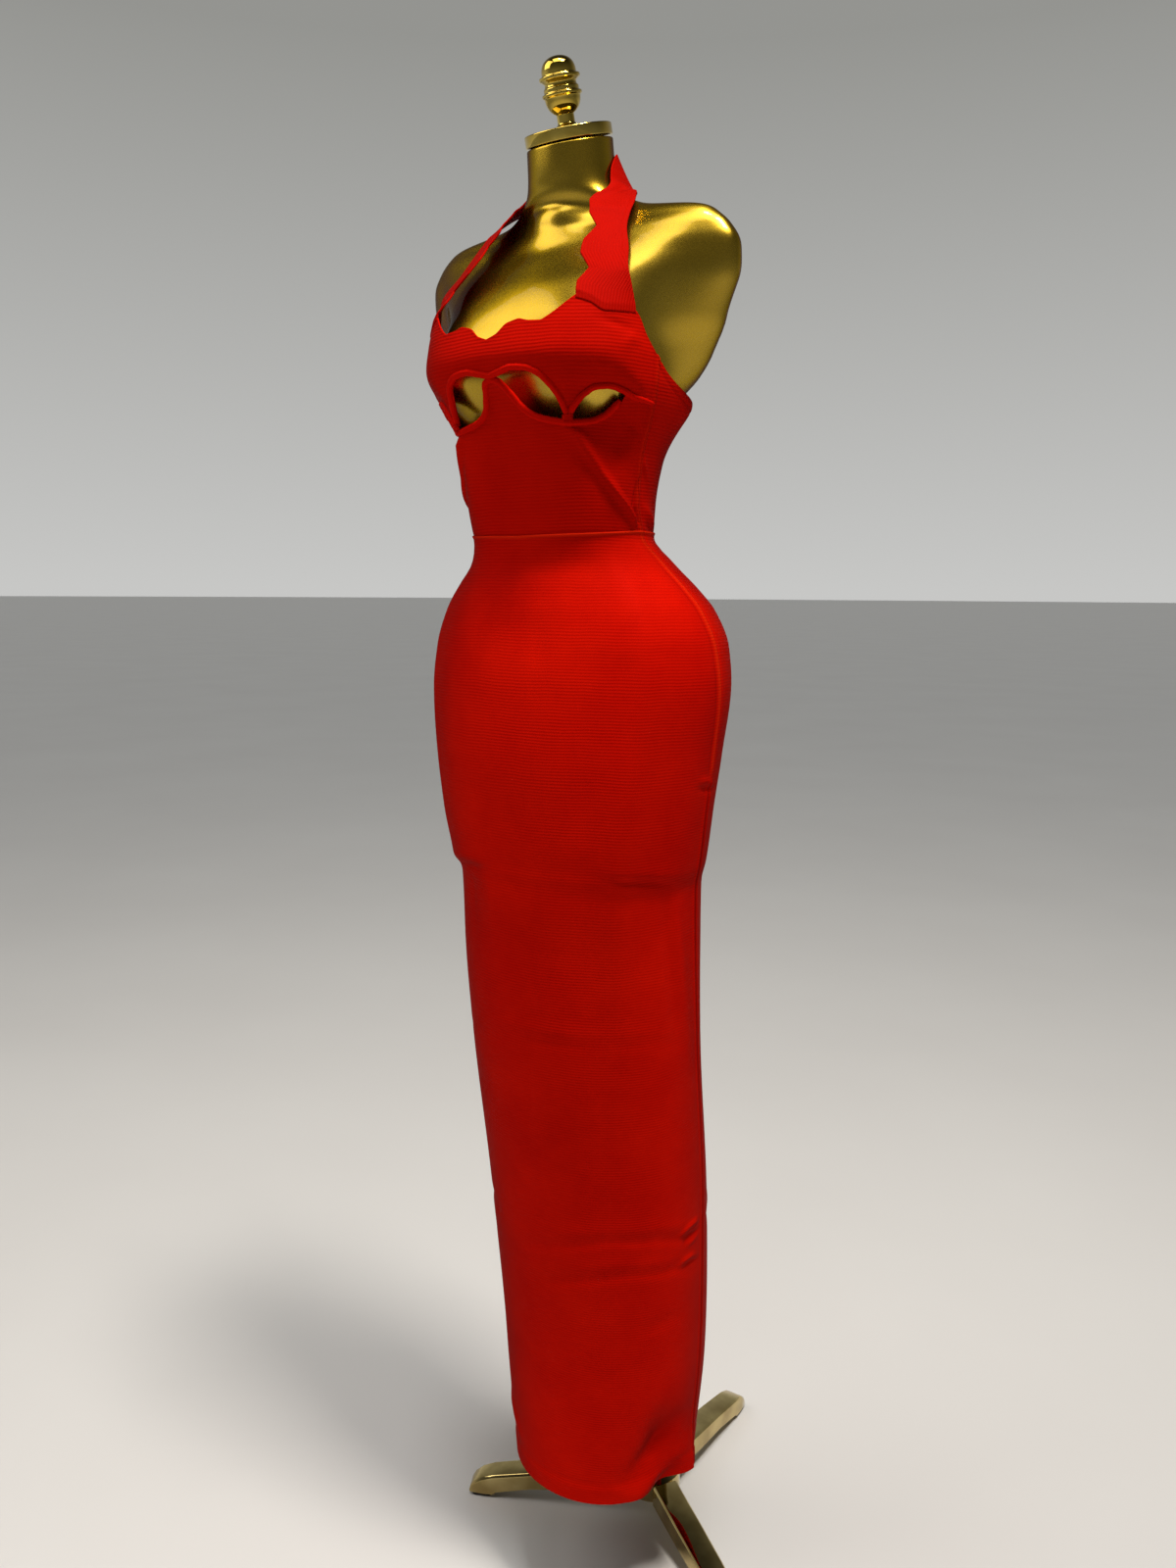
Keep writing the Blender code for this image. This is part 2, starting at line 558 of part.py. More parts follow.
def strap_edges(root):
    """How far along the strap, and its inner and outer edge points, smooth through its rungs."""
    inner, outer = root[0], root[-1]
    inner = inner + (outer - inner).normalized() * SCALLOP_DEPTH
    inner = [inner] + [Vector(rung.inner) for rung in STRAP_RUNGS]
    outer = [outer] + [Vector(rung.outer) for rung in STRAP_RUNGS]
    stations = [0.0]
    for a, b in zip(inner, inner[1:]):
        stations.append(stations[-1] + (b - a).length)
    last = SCALLOP_LENGTH * SCALLOP_LAST
    rows = [last * share for share in spaced(int(SCALLOP_LAST * SCALLOP_STEPS) + 1)]
    rows += [last + (stations[-1] - last) * share for share in spaced(STRAP_TOP_ROWS)[1:]]
    return [
        (along, *[
            Vector([smooth(stations, [point[axis] for point in points], along)
                    for axis in range(3)])
            for points in (inner, outer)
        ])
        for along in rows[1:]
    ]


def scallop(along):
    """How far the inner edge of a strap swells in between the points of its scallops."""
    waves = along / SCALLOP_LENGTH
    if waves >= SCALLOP_LAST:
        return 0.0
    return SCALLOP_DEPTH * abs(cos(pi * waves)) ** 0.7


def strap(name, side, collection, mat):
    turns = [turn for turn in BAND_TURNS if STRAP_SEAM[0].turn <= turn <= STRAP_SEAM[-1].turn]
    rows = [
        [dress_point(turn, edge(STRAP_SEAM, turn) + rise) for turn in turns]
        for rise in (SEAM, STRAP_ROOT)
    ]
    root = rows[1]
    places = [(turn - turns[0]) / (turns[-1] - turns[0]) for turn in turns]
    bows = [point - root[0].lerp(root[-1], place) for point, place in zip(root, places)]
    for along, inner, outer in strap_edges(root):
        inner = inner + (inner - outer).normalized() * scallop(along)
        flat = max(0.0, 1 - along / STRAP_FLAT) ** 2
        rows.append([
            inner.lerp(outer, place) + bow * flat for place, bow in zip(places, bows)
        ])
    if side < 0:
        rows = [[Vector((-p.x, p.y, p.z)) for p in reversed(row)] for row in rows]
    obj = add_object(name, grid_mesh(name, rows), collection, mat)
    solidify(obj, STRAP_CLOTH)
    return obj


def tube(name, points, sizes, radius, collection, mat):
    curve = bpy.data.curves.new(name, "CURVE")
    curve.dimensions = "3D"
    curve.bevel_depth = radius
    curve.bevel_resolution = 1
    curve.use_fill_caps = True
    spline = curve.splines.new("POLY")
    spline.points.add(len(points) - 1)
    for place, point, size in zip(spline.points, points, sizes):
        place.co = (*point, 1.0)
        place.radius = size
    obj = bpy.data.objects.new(name, curve)
    collection.objects.link(obj)
    curve.materials.append(mat)
    return obj


def piping(name, table, last_turn, count, collection, mat):
    """A rolled edge along a panel's edge, level with the middle of the cloth."""
    turns = [last_turn * (2 * share - 1) for share in spaced(count)]
    points = [dress_point(turn, edge(table, turn), -0.5 * CLOTH) for turn in turns]
    sizes = [piping_size(turn) for turn in turns]
    return tube(name, points, sizes, PIPING_RADIUS, collection, mat)


def dress_form(collection):
    paint = material("gold_paint", GOLD_PAINT, 0.32, 0.9)
    heights = [FORM_BOTTOM, 0.935, 0.990, 1.045, 1.090, 1.125, 1.155, 1.182, 1.206, 1.226, 1.237,
               1.250, 1.272, 1.300, 1.335, 1.365, 1.385, 1.405, 1.430, 1.458, 1.485, 1.506, 1.521,
               1.533, 1.541, 1.546, 1.551, 1.558, 1.567, 1.580, 1.618]
    around_turns = [360.0 * i / 40 for i in range(40)]
    rows = [
        [form_point(turn if turn <= 180 else turn - 360.0, height) for turn in around_turns]
        for height in heights
    ]
    mesh = grid_mesh("form_shell", rows, closed=True)
    shell = add_object("form_shell", mesh, collection, paint)
    solidify(shell, FORM_WALL)

    inside = -(FORM_WALL + 0.0012)
    low = FORM_BOTTOM + 0.003
    ring = [form_point(turn if turn <= 180 else turn - 360.0, low, inside) for turn in around_turns]
    bm = bmesh.new()
    base = bm.faces.new([bm.verts.new(point) for point in ring])
    grown = bmesh.ops.extrude_face_region(bm, geom=[base])
    bmesh.ops.translate(bm, vec=(0, 0, BOARD_THICK),
                        verts=[v for v in grown["geom"] if isinstance(v, bmesh.types.BMVert)])
    bmesh.ops.recalc_face_normals(bm, faces=bm.faces)
    board = bpy.data.meshes.new("form_board")
    bm.to_mesh(board)
    bm.free()
    add_object("form_board", board, collection, material("wood_board", BOARD_WOOD, 0.8))


def turned(name, profile, collection, mat, place, steps=32):
    """A turned piece: a profile of (radius, height), top to bottom, screwed round its axis."""
    mesh = bpy.data.meshes.new(name)
    points = [(row[0], 0.0, row[1]) for row in profile]
    edges = [(i, i + 1) for i in range(len(points) - 1)]
    mesh.from_pydata(points, edges, [])
    obj = bpy.data.objects.new(name, mesh)
    collection.objects.link(obj)
    mesh.materials.append(mat)
    obj.matrix_world = place
    mod = obj.modifiers.new("Turn", "SCREW")
    mod.steps = steps
    mod.render_steps = steps
    mod.use_merge_vertices = True
    mod.merge_threshold = 0.00001
    mod.use_smooth_shade = True
    return obj


def cut(obj, cutter):
    mod = obj.modifiers.new("Cut", "BOOLEAN")
    mod.operation = "DIFFERENCE"
    mod.object = cutter


def cutter_box(name, low, high, collection):
    bm = bmesh.new()
    bmesh.ops.create_cube(bm, size=1.0)
    for v in bm.verts:
        v.co = Vector([a + (c + 0.5) * (b - a) for a, b, c in zip(low, high, v.co)])
    mesh = bpy.data.meshes.new(name)
    bm.to_mesh(mesh)
    bm.free()
    obj = bpy.data.objects.new(name, mesh)
    obj.hide_render = True
    obj.display_type = "WIRE"
    collection.objects.link(obj)
    return obj


def neck_pieces(collection):
    plate = material("gold_plate", GOLD_PLATE, 0.12, 1.0)
    lean = Matrix.Rotation(NECK_LEAN, 4, "X")
    seat = Matrix.Translation(NECK_TOP) @ lean @ Matrix.Translation((0, 0, 0.0012))
    cap = (
        (0.0, CAP_THICK), (CAP_RADIUS - CAP_EDGE, CAP_THICK), (CAP_RADIUS, CAP_THICK - CAP_EDGE),
        (CAP_RADIUS, CAP_EDGE), (CAP_RADIUS - CAP_EDGE, 0.0), (0.0, 0.0),
    )
    turned("neck_cap", cap, collection, plate, seat, 40)
    on_cap = seat @ Matrix.Translation((0, 0, CAP_THICK + SEAM))
    profile = list(reversed(FINIAL_PROFILE)) + [Turn(0.0, 0.0)]
    turned("finial", profile, collection, plate, on_cap, 20)


def pole_frame():
    """The pole's foot on the hub, its direction, and a matrix that stands Z along it."""
    foot = HUB + Vector((0, 0, HUB_TOP))
    along = (POLE_TOP - foot).normalized()
    turn = Vector((0, 0, 1)).rotation_difference(along).to_matrix().to_4x4()
    return foot, along, Matrix.Translation(foot) @ turn


def ring_profile(outer, inner, low, high, edge_width=0.001):
    return (
        (inner, high), (outer - edge_width, high), (outer, high - edge_width),
        (outer, low + edge_width), (outer - edge_width, low), (inner, low), (inner, high),
    )


def stand(collection, cutters):
    plate = material("gold_plate", GOLD_PLATE, 0.12, 1.0)
    foot, along, place = pole_frame()
    tall = (POLE_TOP - foot).length
    bore = POLE_RADIUS + SEAM

    hub = (
        (0.0, HUB_TOP), (0.022, HUB_TOP), (HUB_RADIUS, HUB_TOP - 0.010), (HUB_RADIUS, HUB_LOW),
        (0.0, HUB_LOW),
    )
    turned("base_hub", hub, collection, plate, Matrix.Translation(HUB), 32)

    # the pole leans, so its ends are cut level with the hub below and the board above
    pole = turned("pole", ring_profile(POLE_RADIUS, POLE_RADIUS - POLE_WALL, -0.01, tall + 0.02,
                                       0.0005), collection, plate, place, 20)
    socket = turned("form_socket", ring_profile(SOCKET_RADIUS, bore, tall - SOCKET_LENGTH,
                                                tall + 0.02), collection, plate, place, 24)
    collar = turned("pole_collar", ring_profile(COLLAR_RADIUS, bore, -0.01, COLLAR_LENGTH),
                    collection, plate, place, 24)
    board_low = FORM_BOTTOM + 0.003
    above = cutter_box("cut_above", (-0.1, -0.2, board_low - SEAM), (0.1, 0.2, board_low + 0.1),
                       cutters)
    below = cutter_box("cut_below", (-0.1, -0.2, -0.1), (0.1, 0.2, HUB_TOP + SEAM), cutters)
    cut(pole, above)
    cut(pole, below)
    cut(socket, above)
    cut(collar, below)

    for name, turn in LEG_TURNS:
        leg(f"leg_{name}", turn, collection, plate)
        pad(f"foot_pad_{name}", turn, collection)


def outward(turn):
    return Matrix.Translation(HUB) @ Matrix.Rotation(radians(turn), 4, "Z")


def leg(name, turn, collection, mat):
    """A cast leg with a flat top, through its sections."""
    rows = []
    for row in LEG_SECTIONS:
        top_half = row.half_width * LEG_TOP_SHARE
        shoulder = row.top - LEG_SHOULDER
        rows.append([
            Vector((row.reach, y, z))
            for y, z in (
                (-row.half_width, row.under), (row.half_width, row.under),
                (row.half_width, shoulder), (top_half, row.top), (-top_half, row.top),
                (-row.half_width, shoulder),
            )
        ])
    wide = len(rows[0])
    mesh = grid_mesh(name, rows, closed=True)
    bm = bmesh.new()
    bm.from_mesh(mesh)
    bm.verts.ensure_lookup_table()
    bm.faces.new([bm.verts[i] for i in range(wide)])
    bm.faces.new([bm.verts[i] for i in range(len(bm.verts) - wide, len(bm.verts))])
    bmesh.ops.recalc_face_normals(bm, faces=bm.faces)
    bmesh.ops.transform(bm, matrix=outward(turn), verts=bm.verts)
    bm.to_mesh(mesh)
    bm.free()
    return add_object(name, mesh, collection, mat)


def pad(name, turn, collection):
    bm = bmesh.new()
    bmesh.ops.create_cube(bm, size=1.0)
    bmesh.ops.scale(bm, vec=(PAD_LENGTH, PAD_WIDTH, PAD_THICK), verts=bm.verts)
    bmesh.ops.translate(bm, vec=(PAD_REACH, 0, 0.5 * PAD_THICK), verts=bm.verts)
    bmesh.ops.transform(bm, matrix=outward(turn), verts=bm.verts)
    mesh = bpy.data.meshes.new(name)
    bm.to_mesh(mesh)
    bm.free()
    return add_object(name, mesh, collection, material("foot_rubber", RUBBER, 0.9))


def main():
    for obj in list(bpy.data.objects):
        bpy.data.objects.remove(obj, do_unlink=True)
    model = bpy.data.collections.new("halter_dress_on_form")
    cutters = bpy.data.collections.new("cutters")
    for collection in (model, cutters):
        bpy.context.scene.collection.children.link(collection)

    dress_panels(model)
    knit = material("red_bandage_knit", RED_KNIT, 0.55)
    strap("strap_left", 1, model, knit)
    strap("strap_right", -1, model, knit)
    piping("bust_piping", BAND_EDGE, 76.2, 71, model, knit)
    piping("midriff_piping", MIDRIFF_EDGE, MIDRIFF_PIPING_END, 45, model, knit)
    dress_form(model)
    neck_pieces(model)
    stand(model, cutters)


main()
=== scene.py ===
import json
from contextlib import contextmanager
from functools import partial
from math import cos, pi, radians, sin

import bmesh
import bpy
import numpy as np
from mathutils import Matrix, Vector

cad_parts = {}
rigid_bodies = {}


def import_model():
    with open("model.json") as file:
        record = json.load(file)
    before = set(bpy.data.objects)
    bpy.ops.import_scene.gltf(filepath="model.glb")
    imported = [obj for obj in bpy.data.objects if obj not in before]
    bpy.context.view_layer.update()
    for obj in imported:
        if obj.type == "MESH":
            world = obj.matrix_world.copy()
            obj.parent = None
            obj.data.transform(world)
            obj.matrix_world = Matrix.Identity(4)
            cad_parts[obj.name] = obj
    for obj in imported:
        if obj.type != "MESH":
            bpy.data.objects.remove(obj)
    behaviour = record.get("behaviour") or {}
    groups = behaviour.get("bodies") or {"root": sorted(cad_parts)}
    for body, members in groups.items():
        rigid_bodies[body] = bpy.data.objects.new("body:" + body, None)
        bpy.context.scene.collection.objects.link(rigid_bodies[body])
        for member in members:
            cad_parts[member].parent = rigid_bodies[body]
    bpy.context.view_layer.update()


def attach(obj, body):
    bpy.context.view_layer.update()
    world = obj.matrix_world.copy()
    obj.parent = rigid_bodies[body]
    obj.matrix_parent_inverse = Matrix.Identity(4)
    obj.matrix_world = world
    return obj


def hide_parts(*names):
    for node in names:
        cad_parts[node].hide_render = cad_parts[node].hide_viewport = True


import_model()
print("frame loaded")


# curves and tables

def smooth(xs, ys, x):
    # a smooth curve through the points, with no overshoot between them
    steps = np.diff(xs)
    slopes = np.diff(ys) / steps
    product, total = slopes[:-1] * slopes[1:], slopes[:-1] + slopes[1:]
    inner = np.where(product <= 0, 0.0, 2 * product / np.where(total == 0, 1.0, total))
    tangents = np.concatenate([slopes[:1], inner, slopes[-1:]])
    x = np.clip(np.asarray(x, float), xs[0], xs[-1])
    i = np.clip(np.searchsorted(xs, x, side="right") - 1, 0, len(steps) - 1)
    t = (x - xs[i]) / steps[i]
    return ((1 + 2 * t) * (1 - t) ** 2 * ys[i] + t * (1 - t) ** 2 * steps[i] * tangents[i]
            + t * t * (3 - 2 * t) * ys[i + 1] + t * t * (t - 1) * steps[i] * tangents[i + 1])


def alongTable(table, x, column=1):
    return smooth(table[:, 0], table[:, column], x)


def turnTable(*values):
    # turn and height of each mark
    return np.reshape(values, (-1, 2)) / (1, 1000)


def heightTable(*values):
    # height of each mark, and its turn or other value
    return np.reshape(values, (-1, 2)) / (1000, 1)


def hump(x, wide):
    return np.exp(-((x / wide) ** 2))


def smoothStep(x):
    x = np.clip(x, 0.0, 1.0)
    return x * x * (3 - 2 * x)


def wrapTurn(turn):
    return (turn + 180.0) % 360.0 - 180.0


def stepsAlong(points):
    # distance of each point from the first, along the line
    return np.concatenate([[0], np.cumsum(np.linalg.norm(np.diff(points, axis=0), axis=1))])


# objects

def useOnly(obj=None):
    # select this object alone, or nothing
    for other in bpy.data.objects:
        other.select_set(False)
    if obj:
        obj.select_set(True)
        bpy.context.view_layer.objects.active = obj


@contextmanager
def editing(obj):
    useOnly(obj)
    bpy.ops.object.mode_set(mode="EDIT")
    yield
    bpy.ops.object.mode_set(mode="OBJECT")


def settle(obj):
    # put the piece's place, turn and size into its mesh
    useOnly(obj)
    bpy.ops.object.transform_apply(location=True, rotation=True, scale=True)
    return obj


def addSolid(operator, **settings):
    useOnly()
    operator(**settings)
    return settle(bpy.context.object)


def addObject(name, data):
    obj = bpy.data.objects.new(name, data)
    bpy.context.scene.collection.objects.link(obj)
    return obj


def addMesh(name, points, faces, uv=None, edges=()):
    mesh = bpy.data.meshes.new(name)
    mesh.from_pydata(points.tolist(), edges, faces)
    if uv is not None:
        layer = mesh.uv_layers.new(name="clothMetres")
        corners = np.zeros(len(mesh.loops), dtype=np.int32)
        mesh.loops.foreach_get("vertex_index", corners)
        layer.data.foreach_set("uv", uv[corners].astype(np.float32).ravel())
    mesh.update()
    return addObject(name, mesh)


def faceOutward(obj):
    with editing(obj):
        bpy.ops.mesh.select_all(action="SELECT")
        bpy.ops.mesh.normals_make_consistent(inside=False)


def selectFaces(obj, test):
    # in edit mode: select the faces whose centre and normal pass the test
    bm = bmesh.from_edit_mesh(obj.data)
    for face in bm.faces:
        face.select = bool(test(face.calc_center_median(), face.normal))
    bm.select_flush_mode()
    bmesh.update_edit_mesh(obj.data)


def bevelEdges(obj, offset, segments, test):
    # in edit mode: bevel the edges whose ends pass the test
    bm = bmesh.from_edit_mesh(obj.data)
    bpy.context.tool_settings.mesh_select_mode = (False, True, False)
    for face in bm.faces:
        face.select = False
    for edge in bm.edges:
        edge.select = bool(test(edge.verts[0].co, edge.verts[1].co, edge))
    bmesh.update_edit_mesh(obj.data)
    bpy.ops.mesh.bevel(offset=offset, segments=segments, affect="EDGES")


def roundCorners(obj, width, segments, angle):
    # bevel every edge that turns by more than the angle
    useOnly(obj)
    mod = obj.modifiers.new("Bevel", "BEVEL")
    mod.width, mod.segments = width, segments
    mod.limit_method, mod.angle_limit = "ANGLE", radians(angle)
    bpy.ops.object.modifier_apply(modifier=mod.name)


def finishPiece(obj, name, mat, node=None, smoothAngle=None):
    obj.name = name
    obj.data.name = name
    obj.data.materials.clear()
    obj.data.materials.append(mat)
    useOnly(obj)
    if smoothAngle is None:
        bpy.ops.object.shade_smooth()
    else:
        bpy.ops.object.shade_smooth_by_angle(angle=radians(smoothAngle))
    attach(obj, "root")
    if node:
        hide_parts(node)
    return obj


# shape of the dress

# height, half width, middle, front and back along Y, squareness of front and back, corner cut
dressSections = np.array((
    (160, 103, -76, -179, 54, 2.05, 2.05, 0),
    (300, 119, -78, -183, 51, 2.05, 2.05, 0),
    (500, 126.5, -92, -202, 31, 2.1, 2.1, 0),
    (700, 131, -117, -230, -1, 2.1, 2.1, 0),
    (800, 133.5, -125, -239, -9, 2.1, 2.1, 0),
    (880, 135, -127, -242, -13, 2.1, 2.1, 0),
    (905, 141.5, -131, -249, -13, 2.15, 2.15, 0),
    (960, 150, -134, -254, -14, 2.2, 2.2, 0),
    (1020, 158, -133, -257, -9, 2.2, 2.2, 0),
    (1090, 165, -129, -254, -4, 2.2, 2.2, 0),
    (1130, 161, -128, -250, -6, 2.2, 2.2, 0),
    (1165, 148, -131, -243, -19, 2.2, 2.2, 0),
    (1190, 130, -137, -236, -38, 2.2, 2.2, 0),
    (1212, 111, -144, -231, -59, 2.2, 2.2, 0),
    (1240, 96, -160, -234, -84, 2.4, 2.2, 0),
    (1270, 98, -161, -236, -84, 2.8, 2.2, 1.5),
    (1310, 106, -163, -241, -80, 3.1, 2.2, 5.5),
    (1343, 118, -161, -248, -70, 3.2, 2.2, 12),
    (1365, 126, -161, -261, -64, 2.9, 2.2, 10),
    (1380, 129, -162, -273, -64, 2.7, 2.2, 4.5),
    (1400, 130, -164, -281, -67, 2.6, 2.2, 0),
    (1420, 128, -166, -278, -70, 2.6, 2.2, 0),
    (1450, 124, -169, -269, -74, 2.6, 2.2, 0),
)) / (1000, 1000, 1000, 1000, 1000, 1, 1, 1000)
cornerX, cornerY, cornerSoft = 0.742, 0.671, 0.0015

# strong folds of the cloth: how far out, turn, height, how wide in degrees, how tall
dressFolds = np.array((
    (-13, 80, 160, 15, 45),       # hem pushed in beside the left side seam
    (-10, 70, 235, 12, 35),
    (6, 47, 900, 9, 130),         # the form's front corner under the hip
    (13, 100, 150, 8.5, 50),      # the seam's corner stands out
    (8, 117, 1362, 14, 22),       # the back's upper corners stand off the form
    (8, -117, 1362, 14, 22),
    (-6, 62, 1318, 13, 24),       # hollow between the ridge and the side
    (-6, -62, 1318, 13, 24),
)) / (1000, 1, 1000, 1, 1000)
# ridge where the flat midriff turns back to the side
midriffRidge = heightTable(1245,84, 1259,76, 1281,59, 1311,44, 1335,34)
ridgeOut, ridgeWide, ridgeLow, ridgeHigh = 0.0048, 3.8, 1.246, 1.338

# creases, each a soft ridge (out > 0) or trough (out < 0): how far out, how wide below or behind
# its line and above or before it, and then the turn, height and strength of its marks
creases = (
    # bottom edge of the form printing through the skirt, in two dimples and a lip
    (-3,7,4, -64,886,0, -47,893,.5, -32,899,1, -22.9,901,1.2, -16.5,903,.5, -10,904,0),
    (1.6,5,10, -66,899,0, -47,903,.7, -30,910,1, -18,912,.5, -8,913,0),
    (-2.2,6,3, 42,905.5,0, 48.9,904.5,.8, 54.4,903,1, 61.6,901,1, 69.9,898,.8, 80,894,0),
    (1.3,4,12, 36,914,0, 48,912,.8, 60,909,1, 72,905,.7, 84,900,0),
    (-2.2,7,4, 128,897,0, 146,900,.8, 168,902,1, 190,902,.7, 214,899,1, 232,896,0),
    # pinch where the side seam catches on the hip
    (1.7,3.4,3.4, 87,1000,0, 92,998,1, 98,995,.6, 104,991,0),
    (-1.4,3.6,3, 85,992,0, 92,990,1, 100,987,.8, 108,983,0),
    (2.6,4.5,4, -86,1010,0, -94,1007,1, -104,1003,0),
    (-2.2,4.5,3.5, -84,1001,0, -95,998,1, -106,994,0),
    # long upright pulls below the hip
    (1.6,11,11, 80,880,0, 83.1,838,1, 87.2,802.5,1, 90.4,763,.8, 93.1,716.5,.5, 95,660,0),
    (-2,9,9, 72,885,0, 74.8,855,.9, 77.5,812,1, 80.8,751.5,.8, 84,700,0),
    (-1.6,9,9, -74,885,0, -77,840,1, -80,790,.7, -84,720,0),
    (1.3,11,11, -83,870,0, -87,815,1, -91,740,.6, -94,690,0),
    (1.4,12,12, 132,875,0, 136,800,1, 140,700,.6, 142,620,0),
    (-1.3,10,10, -128,880,0, -133,815,1, -136,730,.6, -138,660,0),
    # packing folds, across and down the front and round the back
    (-0.7,4,4, -60,703,0, -42,708,.8, -0.6,731,.7, 15,727,1, 43,732,.8, 75,724,1, 103,705,0),
    (0.7,6,6, -58,713,0, -20,733,.7, 15,738,1, 60,737,.6, 98,717,0),
    (-0.7,4,4, 12.5,885,0, 11.7,861,.7, 9.5,792.5,1, 4.8,681,.8, -2.5,559,.5, -4,500,0),
    (-0.6,4,4, 112,706,0, 150,729,1, 190,731,.7, 236,716,0),
    (-0.6,4,4, 176,880,0, 178,780,1, 181,620,.8, 180,500,0),
    # two slack folds at the knee with short wrinkles running into the side seam
    (-1.4,6,12, -14,462,0, -4,470,.5, 9.6,482,.7, 37,497.5,.8, 63,494,1, 86,479.5,.9, 96,470,.3,
     100,466,0),
    (0.9,12,8, 0,488,0, 20,502,.6, 44,510,.8, 66,506,1, 84,496,1, 95,488,0),
    (2.6,3,3.4, 79,484,0, 84,490,.8, 90,493,1, 95,492.5,1, 100,489,0),
    (-2.2,2.8,3, 82,475.5,0, 89,479,1, 95,477.5,1, 101,476,0),
    (2.2,3,3, 86,470,0, 92,471.5,1, 99,469,0),
    (-1.4,6,13, -8,420,0, 6.6,433,.5, 19,443,.7, 46,456,.8, 77,449,1, 92,434,.8, 101,428,0),
    (0.9,12,8, 10,452,0, 40,467,.8, 66,463,1, 88,450,0),
    (2.2,3,3, 79,450,0, 85,454,.9, 91,453.5,1, 100,445,0),
    (-2.2,3,3, 82,444,0, 90,445.5,1, 99,438,0),
    (-1,6,9, 50,380,0, 60,385,1, 73,387,1, 88,380,0),
    (-2.2,6,11, -104,470,0, -92,480,1, -70,494,.8, -44,492,.5, -30,486,0),
    (2.2,3.5,4, -101,489,0, -90,493,1, -78,492,.7, -70,489,0),
    (-1.8,6,11, -104,431,0, -88,441,1, -66,451,.7, -46,450,0),
    (-2.2,7,11, 108,458,0, 122,472,1, 146,489,.8, 176,493,.9, 204,486,.5, 222,478,0),
    (1.6,11,7, 110,480,0, 134,498,1, 170,506,.8, 206,500,0),
    (-1.8,7,11, 136,428,0, 158,441,1, 190,447,.6, 224,438,1, 246,424,0),
    # hem: the lip in front of its dent, and the bumps where it was folded up
    (5,14,14, 50,160,0, 60,166,.6, 72,174,1, 82.6,182,1, 89,190,.8, 95,204,.3, 99,220,0),
    (-7.4,18,18, 44,176,0, 53,190,.6, 60.9,207,1, 70,217,1, 78,228,.9, 85,246,.4, 89,262,0),
    (2.2,10,8, -56,231,0, -46,226,.9, -39.1,218,1, -32,203,.6, -28,192,0),
    (-1.6,10,10, -60,207,0, -48,200,1, -40,190,.7, -34,180,0),
    (2,12,12, -122,166,0, -116,180,1, -106,200,.6, -100,220,0),
    (-2,14,14, 146,165,0, 150,190,1, 158,220,.7, 164,250,0),
    # pulls in the bodice from the side seam to the waist, and from under the arm
    (1.6,2.5,3, 83,1316,0, 85,1306,1, 91,1294,.8, 98,1281,0),
    (-1.8,2.5,2.5, 82,1297,0, 80.6,1286,1, 78,1266,1, 82,1256,.8, 90,1246,0),
    (1.4,3,3, -84,1314,0, -88,1302,1, -96,1286,0),
    (-1.4,2.5,2.5, -82,1294,0, -80,1276,1, -88,1250,0),
    (2.2,6,5, 88,1268,0, 98,1262,1, 108,1254,1, 116,1246,0),
    (-1.6,4,3, 92,1252,0, 102,1247.5,1, 116,1245,0),
    (1.8,6,5, -90,1266,0, -100,1259,1, -114,1247,0),
    (-1.2,4,4, 58,1348,0, 64,1340,1, 72,1333,.7, 77,1331,0),
    (-1.1,4,4, -58,1346,0, -66,1338,1, -76,1330,0),
    (1.2,6,6, 57,1402,0, 64,1412,1, 71,1411,0),
    (-1.1,4,4, 46,1428,0, 56,1424,1, 66,1420,0),
    (-1.4,5,6, 118,1262,0, 140,1256,.8, 176,1258,1, 214,1255,.7, 240,1261,0),
    (1.3,6,6, 126,1274,0, 158,1268,1, 202,1270,.8, 232,1275,0),
    # the front turns to the side along a soft upright edge down each hip
    (3.6,16,20, 51,1225,0, 52,1190,.8, 51,1120,1, 51,1000,1, 52,930,.8, 53,880,0),
    (-2.2,20,20, 33,1190,0, 32,1120,1, 32,1000,.9, 33,930,0),
    (3,18,18, -51,1225,0, -52,1180,.8, -51,1080,1, -52,950,.7, -53,890,0),
    (-2.4,30,24, -18,1150,0, -4,1146,1, 12,1142,1, 26,1148,0),
    # the step below the form is soft across the middle of the front
    (5.2,50,16, -28,880,0, -13,880,1, 42,880,1, 58,880,.5, 74,879,0),
    # slack across the seat, under the waist at the back, and at the tops of the thighs
    (-1.2,8,10, -66,1213,0, -30,1207,.6, 8,1206,1, 44,1210,0),
    (-1.6,9,12, 130,1215,0, 160,1209,1, 200,1208,.9, 230,1214,0),
)

necklineEdge = turnTable(
    0,1414.5, 5,1418.5, 9.5,1427, 15.5,1430.2, 20,1427.5, 25.5,1426.8, 30,1433, 38.7,1448.5)
strapSeamEdge = turnTable(38.7,1448.5, 44.7,1444.5, 51.5,1437.2, 66.8,1438)
armholeEdge = turnTable(
    66.8,1438, 69,1433, 72.9,1416.5, 78.7,1402, 88.6,1386, 105.5,1374.5, 119,1367, 140,1360,
    180,1356)
bandEdge = turnTable(
    0,1382.5, 6,1385.5, 12,1388, 18,1386.8, 22.5,1382.8, 26.4,1373.5, 29.3,1360, 31.5,1347,
    34.5,1353.5, 40,1364, 45.9,1370.2, 51.4,1371.2, 57,1368.5, 63.8,1362.5, 80,1357.5)
midriffEdge = turnTable(
    0,1380, 3.5,1377.2, 6.5,1367.5, 10,1356, 14.5,1348.5, 20,1344, 26,1341.2, 31.5,1339.5,
    37,1340, 43,1341.5, 48,1345.5, 52,1351.5, 56,1360, 62,1380)
waistEdge = turnTable(0,1237.5, 45,1239.5, 90,1243, 180,1243)
